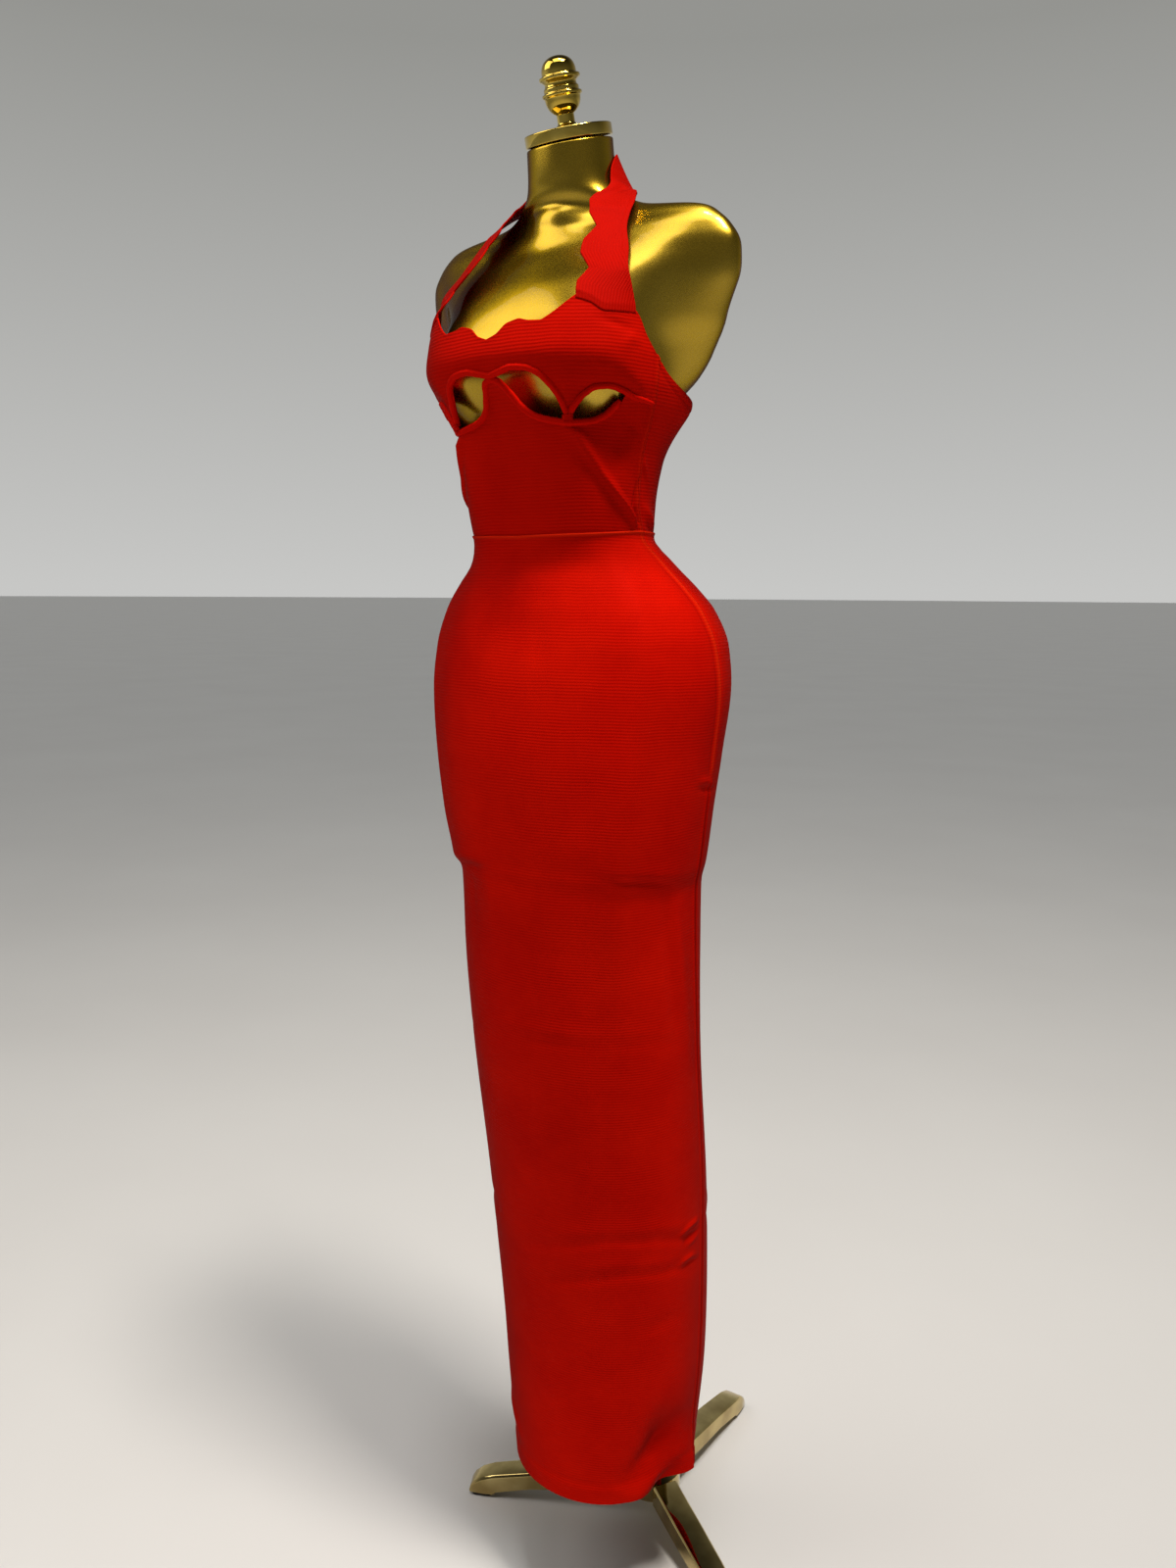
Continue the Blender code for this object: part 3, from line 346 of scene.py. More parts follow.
sideSeam = heightTable(
    160,103, 400,104, 600,107, 740,105, 860,101, 970,99, 1030,97, 1100,93.5, 1170,90.5, 1240,90,
    1270,83, 1300,81, 1360,77, 1405,80)
# painted highlight (1) or painted shade (-1) along the side seams, by height
seamPaintedLight = heightTable(160,-0.9, 900,-0.9, 985,-0.5, 1015,0.8, 1220,0.9, 1260,0.3, 1450,0.2)

cloth = {"thickness": 0.0015, "strapThickness": 0.0020, "hemHeight": 0.160, "skirtTop": 1.240,
         "bandSide": 78.5, "bandUpright": 0.86}
piping = {"radius": 0.0033, "taper": (60.0, 77.0, 0.55), "bandEnd": 77.6, "midriffEnd": 55.8,
          "points": 300, "sides": 16, "sunk": 0.0004, "endSize": 0.55, "endLong": 1.6,
          # how far over the roll the cloth's edge runs, and where that fades out
          "overEdge": 0.62, "overFades": (74.5, 3.0)}


def crispTable(table, x):
    # straight runs between the marks, with the corners only just rounded
    total = sum(np.interp(np.abs(x + step), table[:, 0], table[:, 1])
                for step in (-0.5, -0.25, 0.0, 0.25, 0.5))
    return 0.75 * total / 5 + 0.25 * alongTable(table, np.abs(x))


def creaseOut(turn, height):
    # how far the small creases move the cloth out at each place
    perDegree = np.radians(alongTable(dressSections, height))
    total = np.zeros(height.shape)
    for row in creases:
        out, wideLow, wideHigh = np.array(row[:3]) / 1000
        marks = np.reshape(row[3:], (-1, 3)) / (1, 1000, 1)
        reach = 4 * max(wideLow, wideHigh)
        near = (height > marks[:, 1].min() - reach) & (height < marks[:, 1].max() + reach)
        if not near.any():
            continue
        t, h, metres = turn[near], height[near], perDegree[near]
        best, wide, strong = np.full(t.shape, 1.0), np.full(t.shape, wideLow), np.zeros(t.shape)
        for (t0, h0, s0), (t1, h1, s1) in zip(marks, marks[1:]):
            ax, ay = wrapTurn(t - t0) * metres, h - h0
            bx, by = wrapTurn(t1 - t0) * metres, h1 - h0
            along = np.clip((ax * bx + ay * by) / (bx * bx + by * by), 0, 1)
            apart = np.hypot(ax - along * bx, ay - along * by)
            closer = apart < best
            side = np.where((bx * ay - by * ax) * np.sign(bx + 1e-9) > 0, wideHigh, wideLow)
            wide = np.where(closer, side, wide)
            strong = np.where(closer, s0 + (s1 - s0) * along, strong)
            best = np.where(closer, apart, best)
        total[near] += out * strong * hump(best, wide)
    return total


def foldOut(turn, height):
    out = sum(amount * hump(wrapTurn(turn - foldTurn), wide) * hump(height - foldHeight, tall)
              for amount, foldTurn, foldHeight, wide, tall in dressFolds)
    fade = np.clip(np.minimum(height - ridgeLow, ridgeHigh - height) / 0.01, 0, 1)
    beside = np.abs(wrapTurn(turn)) - alongTable(midriffRidge, height)
    return out + ridgeOut * fade * hump(beside, ridgeWide)


def outlineAt(halfWidth, middle, front, back, frontSquare, backSquare, turn, out):
    # a point of a section that is squarer than an ellipse
    angle = np.radians(turn - 90.0)
    c, s = np.cos(angle), np.sin(angle)
    square = np.where(s < 0, frontSquare, backSquare)
    reach = (np.abs(c) ** square + np.abs(s) ** square) ** (-1.0 / square)
    deep = np.where(s < 0, middle - front, back - middle) + out
    return (halfWidth + out) * reach * c, middle + deep * reach * s


def dressPoint(turn, height, out=0.0, creased=False):
    turn, height = np.broadcast_arrays(np.asarray(turn, float), np.asarray(height, float))
    *section, cornerCut = [alongTable(dressSections, height, k) for k in range(1, 8)]
    halfWidth, middle, front, _, frontSquare, _ = section
    out = out + foldOut(turn, height)
    if creased:
        out = out + creaseOut(turn, height)
    x, y = outlineAt(*section, turn, out)
    # the flat that the cut leaves under each cup
    power = frontSquare / (frontSquare - 1.0)
    wide, deep = (halfWidth + out) * cornerX, (middle - front + out) * cornerY
    limit = (wide ** power + deep ** power) ** (1.0 / power) - cornerCut
    over = (np.abs(x) * cornerX + (middle - y) * cornerY - limit) / cornerSoft
    back = cornerSoft * np.logaddexp(0.0, over) * np.minimum(1.0, cornerCut / 0.004)
    back = np.where(y < middle, back, 0.0)
    return np.stack([x - np.sign(x) * cornerX * back, y + cornerY * back, height], axis=-1)


# shape of the form

# height, half width, middle, front, back, squareness front and back, arm out, arm turn,
# neck root out, lean
formSections = np.array((
    (1310, 101, -163, -234, -85, 2.3, 2.2, 0, 118, 0, 0),
    (1343, 112, -161, -236, -75, 2.1, 2.2, 0, 118, 0, 0),
    (1372, 119, -160, -247, -69, 2.4, 2.2, 4, 116, 0, 0),
    (1388, 121.5, -159, -253, -68, 2.3, 2.2, 17, 112, 0, 0),
    (1412, 123, -158, -253, -67, 2.3, 2.2, 32, 107, 0, 0),
    (1440, 130, -156, -244, -67, 2.2, 2.3, 40, 101, 0, 0),
    (1470, 143, -153, -227, -69, 2.1, 2.3, 40, 98, 0, 0),
    (1495, 158, -149, -204, -73, 2.1, 2.3, 29, 96, 4, 0),
    (1512, 166, -146, -188, -82, 2.2, 2.3, 17, 94, 7, 0),
    (1524, 166, -144, -179, -94, 2.3, 2.4, 8, 92, 12, 0),
    (1534, 162, -142, -169, -107, 2.4, 2.4, 0, 90, 19, 0),
    (1541, 149, -141, -164, -116, 2.5, 2.4, 0, 90, 24, 0),
    (1545, 130, -141, -160, -121, 2.4, 2.3, 0, 90, 27, 0),
    (1548, 96, -141, -160, -121, 2.2, 2.2, 0, 90, 26, 0),
    (1554, 78, -142, -166, -115, 2, 2, 0, 90, 16, 1),
    (1560, 64, -143, -174, -110, 2, 2, 0, 90, 9, 2),
    (1567, 52.5, -144, -183, -104, 2, 2, 0, 90, 4, 4),
    (1577, 46, -146, -188, -103, 2, 2, 0, 90, 0, 6),
    (1593, 43, -148, -191, -105, 2, 2, 0, 90, 0, 11),
    (1618, 42.2, -151, -193, -109, 2, 2, 0, 90, 0, 17),
)) / (1000, 1000, 1000, 1000, 1000, 1, 1, 1000, 1, 1000, 1)
form = {
    "clear": 0.0045, "wall": 0.0035, "bottom": 0.902, "sharedTop": 1.290, "top": 1.618,
    "bustTurn": 34.0, "bustHeight": 1.396, "bustOut": 0.020, "bustWide": 17.0,
    "bustUp": 0.045, "bustDown": 0.026, "armWide": 17.0, "neckRootWide": 0.035,
    "columns": 176, "rows": 210, "blend": 0.006, "shoulderRows": (1.530, 1.560, 34),
    # hollow under the hollows of the midriff: how far in, turn, height, how wide, how tall
    "flank": (-0.0050, 62.0, 1.312, 15.0, 0.026),
}


def blended(column, height):
    # the section's value averaged over a few millimetres, so that the gloss runs without rings
    shares = 1 - np.abs(np.linspace(-0.9, 0.9, 9))
    total = sum(share * alongTable(formSections, height + step, column)
                for share, step in zip(shares, form["blend"] * np.linspace(-1, 1, 9)))
    return total / shares.sum()


def formPoint(turn, height, out=0.0):
    # the dress's own section inside the cloth, and above it the form's
    turn = wrapTurn(turn)
    inward, flankTurn, flankHeight, wide, tall = form["flank"]
    out = out + inward * hump(np.abs(turn) - flankTurn, wide) * hump(height - flankHeight, tall)
    lowX, lowY = outlineAt(*[alongTable(dressSections, height, k) for k in range(1, 7)], turn,
                           out - form["clear"])
    *section, armOut, armTurn, neckOut, lean = [blended(k, height) for k in range(1, 11)]
    rise = height - form["bustHeight"]
    bust = form["bustOut"] * hump(np.abs(turn) - form["bustTurn"], form["bustWide"])
    bust = bust * hump(rise, np.where(rise > 0, form["bustUp"], form["bustDown"]))
    bust = np.where(height < formSections[0, 0], 0.0, bust)
    arm = armOut * hump(np.abs(turn) - armTurn, form["armWide"])
    rootWide = np.degrees(form["neckRootWide"] / section[0])
    root = neckOut * (hump(turn, rootWide) + hump(180.0 - np.abs(turn), rootWide))
    x, y = outlineAt(*section, turn, out + bust + arm + root)
    share = np.clip((height - form["sharedTop"]) / (formSections[0, 0] - form["sharedTop"]), 0, 1)
    tilt = (y - section[1]) * np.sin(np.radians(lean))
    return np.stack([lowX + (x - lowX) * share, lowY + (y - lowY) * share, height + tilt], -1)


# materials

def linear(hexColour):
    # sRGB hex to the linear colour the shaders take
    parts = [int(hexColour[i:i + 2], 16) / 255 for i in (1, 3, 5)]
    parts = [p / 12.92 if p <= 0.04045 else ((p + 0.055) / 1.055) ** 2.4 for p in parts]
    return (*parts, 1.0)


def feed(tree, node, inputs):
    # set a node's inputs: a socket is linked, and a string is an sRGB hex colour
    for key, value in inputs.items():
        if isinstance(value, bpy.types.NodeSocket):
            tree.links.new(value, node.inputs[key])
        else:
            node.inputs[key].default_value = linear(value) if isinstance(value, str) else value


def addNode(tree, kind, inputs=(), out=0, **settings):
    # one node with its inputs, by name or in order, and its settings; gives back an output
    node = tree.nodes.new("ShaderNode" + kind)
    for key, value in settings.items():
        setattr(node, key, value)
    feed(tree, node, inputs if isinstance(inputs, dict) else dict(enumerate(inputs)))
    return node.outputs[out]


def feedShader(mat, **inputs):
    feed(mat.node_tree, mat.node_tree.nodes["Principled BSDF"],
         {key.replace("_", " "): value for key, value in inputs.items()})
    return mat


def newMaterial(name, **inputs):
    mat = bpy.data.materials.new(name)
    mat.use_nodes = True
    return feedShader(mat, **inputs), partial(addNode, mat.node_tree)


# sockets and settings of nodes that mix colours, and of ones that ease between their ends
mixed = {"out": 2, "data_type": "RGBA"}
eased = {"interpolation_type": "SMOOTHSTEP"}


def knitMaterial(name, ribMm, ribDepthMm, tones, rough=0.62, turnShade=0.52, fadeUp=None):
    # bandage knit of viscose and elastane, knitted tight in fine ribs: matt, with a soft bloom on
    # edges and ribs that catch the light; the ribs, 2.4 mm on the real cloth, are drawn wider so
    # that they show
    mat, add = newMaterial(name, Roughness=rough, Metallic=0.0, IOR=1.46, Specular_IOR_Level=0.01,
                           Sheen_Weight=0.03, Sheen_Roughness=0.40, Sheen_Tint="#ff2200")
    deep, mid, bright = tones
    uv = add("UVMap", uv_map="clothMetres")
    across, up = add("SeparateXYZ", (uv,), slice(0, 2))
    if fadeUp:      # the ribs run up the piece
        across, up = up, across
    # the ribs wander a little, as stretched cloth does
    wander = add("TexNoise", {"Vector": uv, "Scale": 16.0, "Detail": 2.0})
    shift = add("Math", (wander, 0.0042, up), operation="MULTIPLY_ADD")
    turns = add("Math", (shift, 2 * pi * 1000 / ribMm), operation="MULTIPLY")
    rib = add("Math", (turns,), operation="SINE")
    # loops of yarn along each rib, every 1.6 mm
    loopTurns = add("Math", (across, 2 * pi * 1000 / 1.6, turns), operation="MULTIPLY_ADD")
    loop = add("Math", (loopTurns,), operation="SINE")
    relief = add("Math", (loop, 0.28, rib), operation="MULTIPLY_ADD")
    if fadeUp:      # they open out and vanish up its length
        fade = add("MapRange", (across, *fadeUp, 1.0, 0.18), **eased)
        relief = add("Math", (relief, fade), operation="MULTIPLY")
    fuzz = add("TexNoise", {"Vector": uv, "Scale": 620.0, "Detail": 3.0, "Roughness": 0.6})
    height = add("Math", (fuzz, 1.6, relief), operation="MULTIPLY_ADD")
    bump = add("Bump", {"Strength": 0.5, "Distance": ribDepthMm / 1000, "Height": height})
    # colour: painted shade in the valleys between the ribs, mixed with random flecks from the
    # fuzz, and uneven over a hand's width as dyed cloth is
    patch = add("TexNoise", {"Vector": uv, "Scale": 7.0, "Detail": 6.0, "Roughness": 0.68})
    ribValleyShade = add("MapRange", (height, -1.0, 2.4, 0.15, 1.0))
    body = add("Mix", {0: ribValleyShade, 6: deep, 7: mid}, **mixed)
    patchTone = add("MapRange", (patch, 0.35, 0.70, 0.0, 0.60))
    colour = add("Mix", {0: patchTone, 6: body, 7: bright}, **mixed)
    roughness = add("MapRange", (fuzz, 0.3, 0.7, rough - 0.06, rough + 0.08))
    # seam lines: the marks on the piece give a painted highlight where they are above nought and
    # painted shade below
    seam = add("Attribute", (), "Fac", attribute_name="seamHighlightShade")
    light = add("MapRange", (seam, 0.0, 1.0, 0.0, 0.45))
    dark = add("MapRange", (seam, 0.0, -1.0, 0.0, 0.7))
    # the painted highlight colour for the light marks, and the painted shade colour for the dark
    # ones
    lit = add("Mix", {0: light, 6: colour, 7: "#ea300c"}, **mixed)
    seamed = add("Mix", {0: dark, 6: lit, 7: "#4a0200"}, **mixed)
    # seen along its surface the pile swallows light, so the cloth darkens where it turns away
    turned = add("LayerWeight", {"Blend": 0.5}, "Facing")
    shade = add("MapRange", (turned, 0.35, 0.95, 1.0, turnShade), **eased)
    final = add("Mix", {0: 1.0, 6: seamed, 7: shade}, blend_type="MULTIPLY", **mixed)
    return feedShader(mat, Base_Color=final, Roughness=roughness, Normal=bump)


def goldPaintMaterial():
    # fibreglass shell sprayed with gold lacquer: fine metal flake under a clear coat, so a broad
    # soft gloss with small sharp lights on top, and a slight orange peel
    mat, add = newMaterial("goldLacqueredFibreglass", Metallic=1.0, Roughness=0.28,
                           Coat_Weight=0.22, Coat_Roughness=0.05, Coat_IOR=1.45,
                           Specular_Tint="#5c4410")
    place = add("TexCoord", out="Object")
    flake = add("TexVoronoi", {"Vector": place, "Scale": 1400.0}, "Color")
    cloud = add("TexNoise", {"Vector": place, "Scale": 5.0, "Detail": 3.0})
    peel = add("TexNoise", {"Vector": place, "Scale": 160.0, "Detail": 2.0})
    flakeTone, flakeDull = add("SeparateColor", (flake,), slice(0, 2))
    spread = add("Math", (flakeTone, 0.09, cloud), operation="MULTIPLY_ADD")
    tone = add("MapRange", (spread, 0.45, 0.95, 0.0, 1.0))
    colour = add("Mix", {0: tone, 6: "#aa8c28", 7: "#c0a23c"}, **mixed)
    roughness = add("MapRange", (flakeDull, 0.0, 1.0, 0.25, 0.29))
    bump = add("Bump", {"Strength": 0.10, "Distance": 0.0006, "Height": peel})
    return feedShader(mat, Base_Color=colour, Roughness=roughness, Normal=bump)


def platedMaterial(name, dark, light, rough):
    # polished plate: mirror bright, with hairlines from wiping and duller patches of handling
    mat, add = newMaterial(name, Metallic=1.0, Roughness=rough)
    place = add("TexCoord", out="Object")
    stretch = add("Mapping", {"Vector": place, "Scale": (260.0, 260.0, 18.0)})
    lines = add("TexNoise", {"Vector": stretch, "Scale": 3.0, "Detail": 3.0})
    patch = add("TexNoise", {"Vector": place, "Scale": 26.0, "Detail": 3.0})
    tone = add("MapRange", (patch, 0.35, 0.65, 0.0, 1.0))
    colour = add("Mix", {0: tone, 6: dark, 7: light}, **mixed)
    both = add("Math", (lines, 0.6, patch), operation="MULTIPLY_ADD")
    roughness = add("MapRange", (both, 0.55, 1.05, rough * 0.6, rough * 1.9))
    bump = add("Bump", {"Strength": 0.02, "Distance": 0.0002, "Height": lines})
    return feedShader(mat, Base_Color=colour, Roughness=roughness, Normal=bump)


def boardMaterial():
    # birch plywood, sanded and left bare: pale, matt, with long fine grain
    mat, add = newMaterial("bareBirchPly", Roughness=0.72, IOR=1.5)
    place = add("TexCoord", out="Object")
    stretch = add("Mapping", {"Vector": place, "Scale": (6.0, 90.0, 90.0)})
    grain = add("TexNoise", {"Vector": stretch, "Scale": 2.0, "Detail": 5.0, "Distortion": 0.6})
    colour = add("Mix", {0: grain, 6: "#8d6a42", 7: "#cdab7c"}, **mixed)
    bump = add("Bump", {"Strength": 0.35, "Distance": 0.0004, "Height": grain})
    return feedShader(mat, Base_Color=colour, Normal=bump)


def rubberMaterial():
    # moulded black rubber: dull, with a fine stipple and a little floor dust
    mat, add = newMaterial("mouldedRubber", Roughness=0.78, IOR=1.52)
    place = add("TexCoord", out="Object")
    stipple = add("TexNoise", {"Vector": place, "Scale": 900.0, "Detail": 2.0})
    dust = add("TexNoise", {"Vector": place, "Scale": 70.0, "Detail": 4.0})
    colour = add("Mix", {0: dust, 6: "#161616", 7: "#3a3835"}, **mixed)
    bump = add("Bump", {"Strength": 0.5, "Distance": 0.0003, "Height": stipple})
    return feedShader(mat, Base_Color=colour, Normal=bump)


knit = knitMaterial("redBandageKnit", 3.2, 0.15, ("#9a0400", "#b70a00", "#c51001"))
skirtKnit = knitMaterial("redSkirtKnit", 3.0, 0.12, ("#9e0500", "#be0b01", "#cf1301"))
strapKnit = knitMaterial("redStrapKnit", 3.0, 0.30, ("#8c0400", "#a40801", "#ae0b01"),
                         turnShade=0.60, fadeUp=(0.045, 0.110))
pipingKnit = knitMaterial("redRolledPiping", 2.6, 0.12, ("#b40700", "#c80b01", "#d21002"),
                          rough=0.56, turnShade=0.82)
polishedGold = platedMaterial("polishedGoldPlate", "#b6983a", "#dac060", 0.06)
champagneGold = platedMaterial("champagneGoldPlate", "#a8925c", "#cdb87c", 0.055)
print("materials made")


# cloth panels

def edgedShares(count, length, fine=(0.00012, 0.0004, 0.0008, 0.0013, 0.002, 0.003, 0.0042,
                                     0.0060, 0.0074, 0.0082, 0.0092, 0.0110)):
    # shares of the way across, even in the middle and close together beside both edges
    ends = np.array([0.0] + [step / length for step in fine])
    middle = np.linspace(ends[-1], 1 - ends[-1], count + 1)[1:-1]
    return np.concatenate([ends, middle, 1 - ends[::-1]])


def rimRoll(thick, *distances):
    # how far a rounded edge falls back from the face, by the distances from the edges
    radius = 0.46 * thick
    inside = np.clip(radius - np.minimum.reduce(distances), 0.0, radius)
    return radius - np.sqrt(radius * radius - inside * inside)


def seamLift(d, height):
    # a plain seam: pulled tight over the hips it stands up in a thin cord, and below them it
    # sinks in a groove with a low welt beside it over the seam allowance
    cord = 0.0011 * hump(d - 0.0011, 0.0015) - 0.0005 * hump(d - 0.0052, 0.0014)
    groove = -0.0012 * hump(d, 0.0016) + 0.0009 * hump(d - 0.0046, 0.0022)
    return groove + (cord - groove) * smoothStep((height - 0.985) / 0.03)


# how far a finished edge lifts the cloth, by the distance from it
edgeLift = {
    # a turned hem, a little thicker, with its stitched line 25 mm in
    "hem": lambda d: (0.0005 * (1 - smoothStep((d - 0.022) / 0.004))
                      - 0.0006 * hump(d - 0.025, 0.0012)),
    # turned in and stitched 8 mm from the fold
    "turned": lambda d: (0.0004 * (1 - smoothStep((d - 0.0066) / 0.002))
                         - 0.0007 * hump(d - 0.0082, 0.0009)),
    # laid over the next piece with a rolled edge, and tucked under it
    "over": lambda d: 0.0004 * hump(d, 0.0045) + 0.0008 * hump(d - 0.0012, 0.0014),
    "under": lambda d: -0.0008 * hump(d, 0.0040),
    # bound, and left plain
    "bound": lambda d: 0.0003 * hump(d, 0.003),
    "plain": lambda d: 0.0 * d,
}


def gridLengths(points):
    # distance of each point from the start of its row, and from the start of its column
    across, up = (np.cumsum(np.linalg.norm(np.diff(points, axis=axis), axis=2), axis=axis)
                  for axis in (1, 0))
    return np.pad(across, ((0, 0), (1, 0))), np.pad(up, ((1, 0), (0, 0)))


def gridFaces(index):
    corners = [index[:-1, :-1], index[:-1, 1:], index[1:, 1:], index[1:, :-1]]
    return np.stack(corners, axis=-1).reshape(-1, 4)


def shellObject(name, outer, inner, uv=None, closed=False, marks=None):
    # a thin shell: an outer and an inner skin joined round the rim; closed joins each row's ends,
    # and marks give the painted highlight and painted shade on its seam lines at each point
    under = outer.shape[0] * outer.shape[1]
    index = np.arange(under).reshape(outer.shape[:2])
    if closed:
        index = np.concatenate([index, index[:, :1]], axis=1)
        rims = [index[0], index[-1, ::-1]]
    else:
        rims = [index[0], index[-1, ::-1], index[::-1, 0], index[:, -1]]
    skin = gridFaces(index)
    rims = [np.stack([rim[1:], rim[:-1], rim[:-1] + under, rim[1:] + under], -1) for rim in rims]
    obj = addMesh(name, np.concatenate([outer.reshape(-1, 3), inner.reshape(-1, 3)]),
                  np.concatenate([skin, skin[:, ::-1] + under] + rims).tolist(),
                  None if uv is None else np.tile(uv.reshape(-1, 2), (2, 1)))
    if marks is not None:
        seams = obj.data.attributes.new("seamHighlightShade", "FLOAT", "POINT")
        seams.data.foreach_set("value", np.tile(marks.ravel(), 2).astype(np.float32))
    return obj


def frontTurn(share, height):
    return share * alongTable(sideSeam, height)


def backTurn(share, height):
    return 180.0 + share * (180.0 - alongTable(sideSeam, height))


def bandTurn(share, height):
    # upright columns, but for those that come up to the side seam
    side, upright = cloth["bandSide"], cloth["bandUpright"]
    near = smoothStep((np.abs(share) - upright) / (1 - upright))
    return share * (side + (alongTable(sideSeam, height) - side) * near)


def waistLine(turn):
    return alongTable(waistEdge, np.abs(wrapTurn(turn)))


def pipingSize(turn):
    start, end, least = piping["taper"]
    return 1.0 - (1.0 - least) * np.clip((np.abs(turn) - start) / (end - start), 0, 1)


def offEdge(table, turn, side):
    # a line that runs inside the piping on an edge line, above it (1) or below it (-1)
    fadeTurn, fadeLong = piping["overFades"]
    fade = 1 - smoothStep((np.abs(turn) - fadeTurn) / fadeLong)
    distance = piping["overEdge"] * piping["radius"] * pipingSize(turn) * fade
    height = alongTable(table, np.abs(turn))
    degree = dressPoint(turn + 0.5, height) - dressPoint(turn - 0.5, height)
    degree = np.linalg.norm(degree, axis=-1)
    found = []
    for across in np.arange(-6, 7) / 6:
        beside = alongTable(table, np.abs(turn + across * distance / degree))
        found.append(side * (beside + side * distance * np.sqrt(1 - across * across)))
    return side * np.max(found, axis=0)


def bandTop(turn):
    turn = np.abs(turn)
    over = np.where(turn < strapSeamEdge[-1, 0], alongTable(strapSeamEdge, turn),
                    alongTable(armholeEdge, turn))
    return np.where(turn < necklineEdge[-1, 0], crispTable(necklineEdge, turn), over)


# height of each cut edge at a turn
edgeLine = {
    "hem": lambda turn: cloth["hemHeight"] + 0.0 * turn,
    "waistOver": lambda turn: waistLine(turn) + 0.0008,
    "waistUnder": lambda turn: waistLine(turn) - 0.0012,
    "bandBottom": lambda turn: offEdge(bandEdge, turn, 1),
    "bandTop": bandTop,
    "midriffTop": lambda turn: np.minimum(offEdge(midriffEdge, turn, -1),
                                          offEdge(bandEdge, turn, -1)),
    "backTop": lambda turn: alongTable(armholeEdge, np.abs(wrapTurn(turn))),
}


def skirtParts():
    # rows of the skirt, close together at its edges and where the small creases are
    low, high = cloth["hemHeight"], cloth["skirtTop"]
    rows = list(low + (high - low) * edgedShares(150, high - low))
    for start, end, step in ((.176, .260, .0042), (.425, .512, .0023), (.884, .914, .0025),
                             (.978, 1.008, .0022)):
        rows = [row for row in rows if not start <= row <= end]
        rows += list(np.arange(start, end, step))
    return (np.array(sorted(rows)) - low) / (high - low)


def makePanel(name, node, turnAt, low, high, columns, parts, lowLift, highLift, mat=knit,
              rimHighlight=0.0):
    # a cloth panel between two edge lines; shares run -1 to 1 across it and parts 0 to 1 up it,
    # and columns are how many there are and its rough width
    shares = 2 * edgedShares(*columns) - 1
    bottom, top = np.ones_like(shares), np.ones_like(shares)
    for _ in range(8):
        bottom = edgeLine[low](turnAt(shares, bottom))
        top = edgeLine[high](turnAt(shares, top))
    heights = bottom + parts[:, None] * (top - bottom)
    turns = turnAt(shares + 0 * heights, heights)
    fromLeft, fromLow = gridLengths(dressPoint(turns, heights))
    fromRight, fromHigh = fromLeft[:, -1:] - fromLeft, fromLow[-1:, :] - fromLow
    side = np.minimum(fromLeft, fromRight)
    lift = (edgeLift[lowLift](fromLow) + edgeLift[highLift](fromHigh) + seamLift(fromLeft, heights)
            + seamLift(fromRight, heights))
    thick = cloth["thickness"]
    roll = rimRoll(thick, side, fromLow, fromHigh)
    # painted highlight on the stretched seams over the hips and painted shade in them below, and a
    # painted highlight along the top edge where the rim value is set
    marks = (alongTable(seamPaintedLight, heights) * hump(side - 0.0012, 0.0017)
             + rimHighlight * hump(fromHigh - 0.0012, 0.0015))
    obj = shellObject(name, dressPoint(turns, heights, lift - roll, creased=True),
                      dressPoint(turns, heights, lift - thick + roll, creased=True),
                      np.stack([fromLeft - 0.5 * fromLeft[:, -1:], heights], axis=-1),
                      marks=np.clip(marks, -1, 1))
    return finishPiece(obj, name, mat, node)


# the skirt panels carry a painted highlight along their top edge at the waist
skirtFront = makePanel("skirtFront", "skirt_front", frontTurn, "hem", "waistOver", (118, 0.52),
                       skirtParts(), "hem", "over", skirtKnit, 1.0)
skirtBack = makePanel("skirtBack", "skirt_back", backTurn, "hem", "waistOver", (96, 0.44),
                      skirtParts(), "hem", "over", skirtKnit, 1.0)
midriffFront = makePanel("midriffFront", "midriff_front", frontTurn, "waistUnder", "midriffTop",
                         (150, 0.34), edgedShares(64, 0.11), "under", "plain")
bodiceBack = makePanel("bodiceBack", "bodice_back", backTurn, "waistUnder", "backTop", (90, 0.32),
                       edgedShares(60, 0.12), "under", "turned")
bustBand = makePanel("bustBand", "bust_band", bandTurn, "bandBottom", "bandTop", (230, 0.36),
                     edgedShares(40, 0.06), "plain", "bound")
print("panels made")


# halter straps

# the wearer's left strap above the bust, up beside the neck and round behind it: inner, outer
strapRungs = np.array((
    (83.8, -234.1, 1473.6, 114, -211.5, 1471),
    (75.9, -219.1, 1495.9, 101.5, -195.1, 1500),
    (68.5, -201.2, 1519.6, 90.4, -181.8, 1523.8),
    (60, -183.9, 1543.7, 83.7, -159.6, 1550.8),
    (52.8, -173.2, 1558.2, 74.5, -143, 1563.5),
    (53, -157, 1572, 68, -133, 1568),
    (47, -146, 1590, 58, -117, 1571),
    (37, -122.5, 1610, 44, -102, 1574),
    (20, -106.5, 1613, 22, -95, 1575),
    (10, -101.5, 1613, 10, -92.5, 1575.5),
    (0, -101, 1613, 0, -92, 1575.5),
)) / 1000
strap = {
    "scallopDepth": 0.0100, "scallopLength": 0.059, "scallops": 2.5, "flat": 0.090,
    "root": 0.004, "overlap": 0.0032, "lift": 0.0009, "rows": 190, "columns": 30,
    # how high a scallop stands along its length: straight up to a short, nearly flat crest
    "crest": ((0.0, 0.36, 0.52, 0.70, 1.0), (0.0, 0.96, 1.0, 0.95, 0.0)),
    # the right strap lies a little flatter to the front
    "rightInner": (-0.0050, -0.0030, 0.0), "rightOuter": (0.0, -0.0040, 0.0), "rightRungs": 3,
}


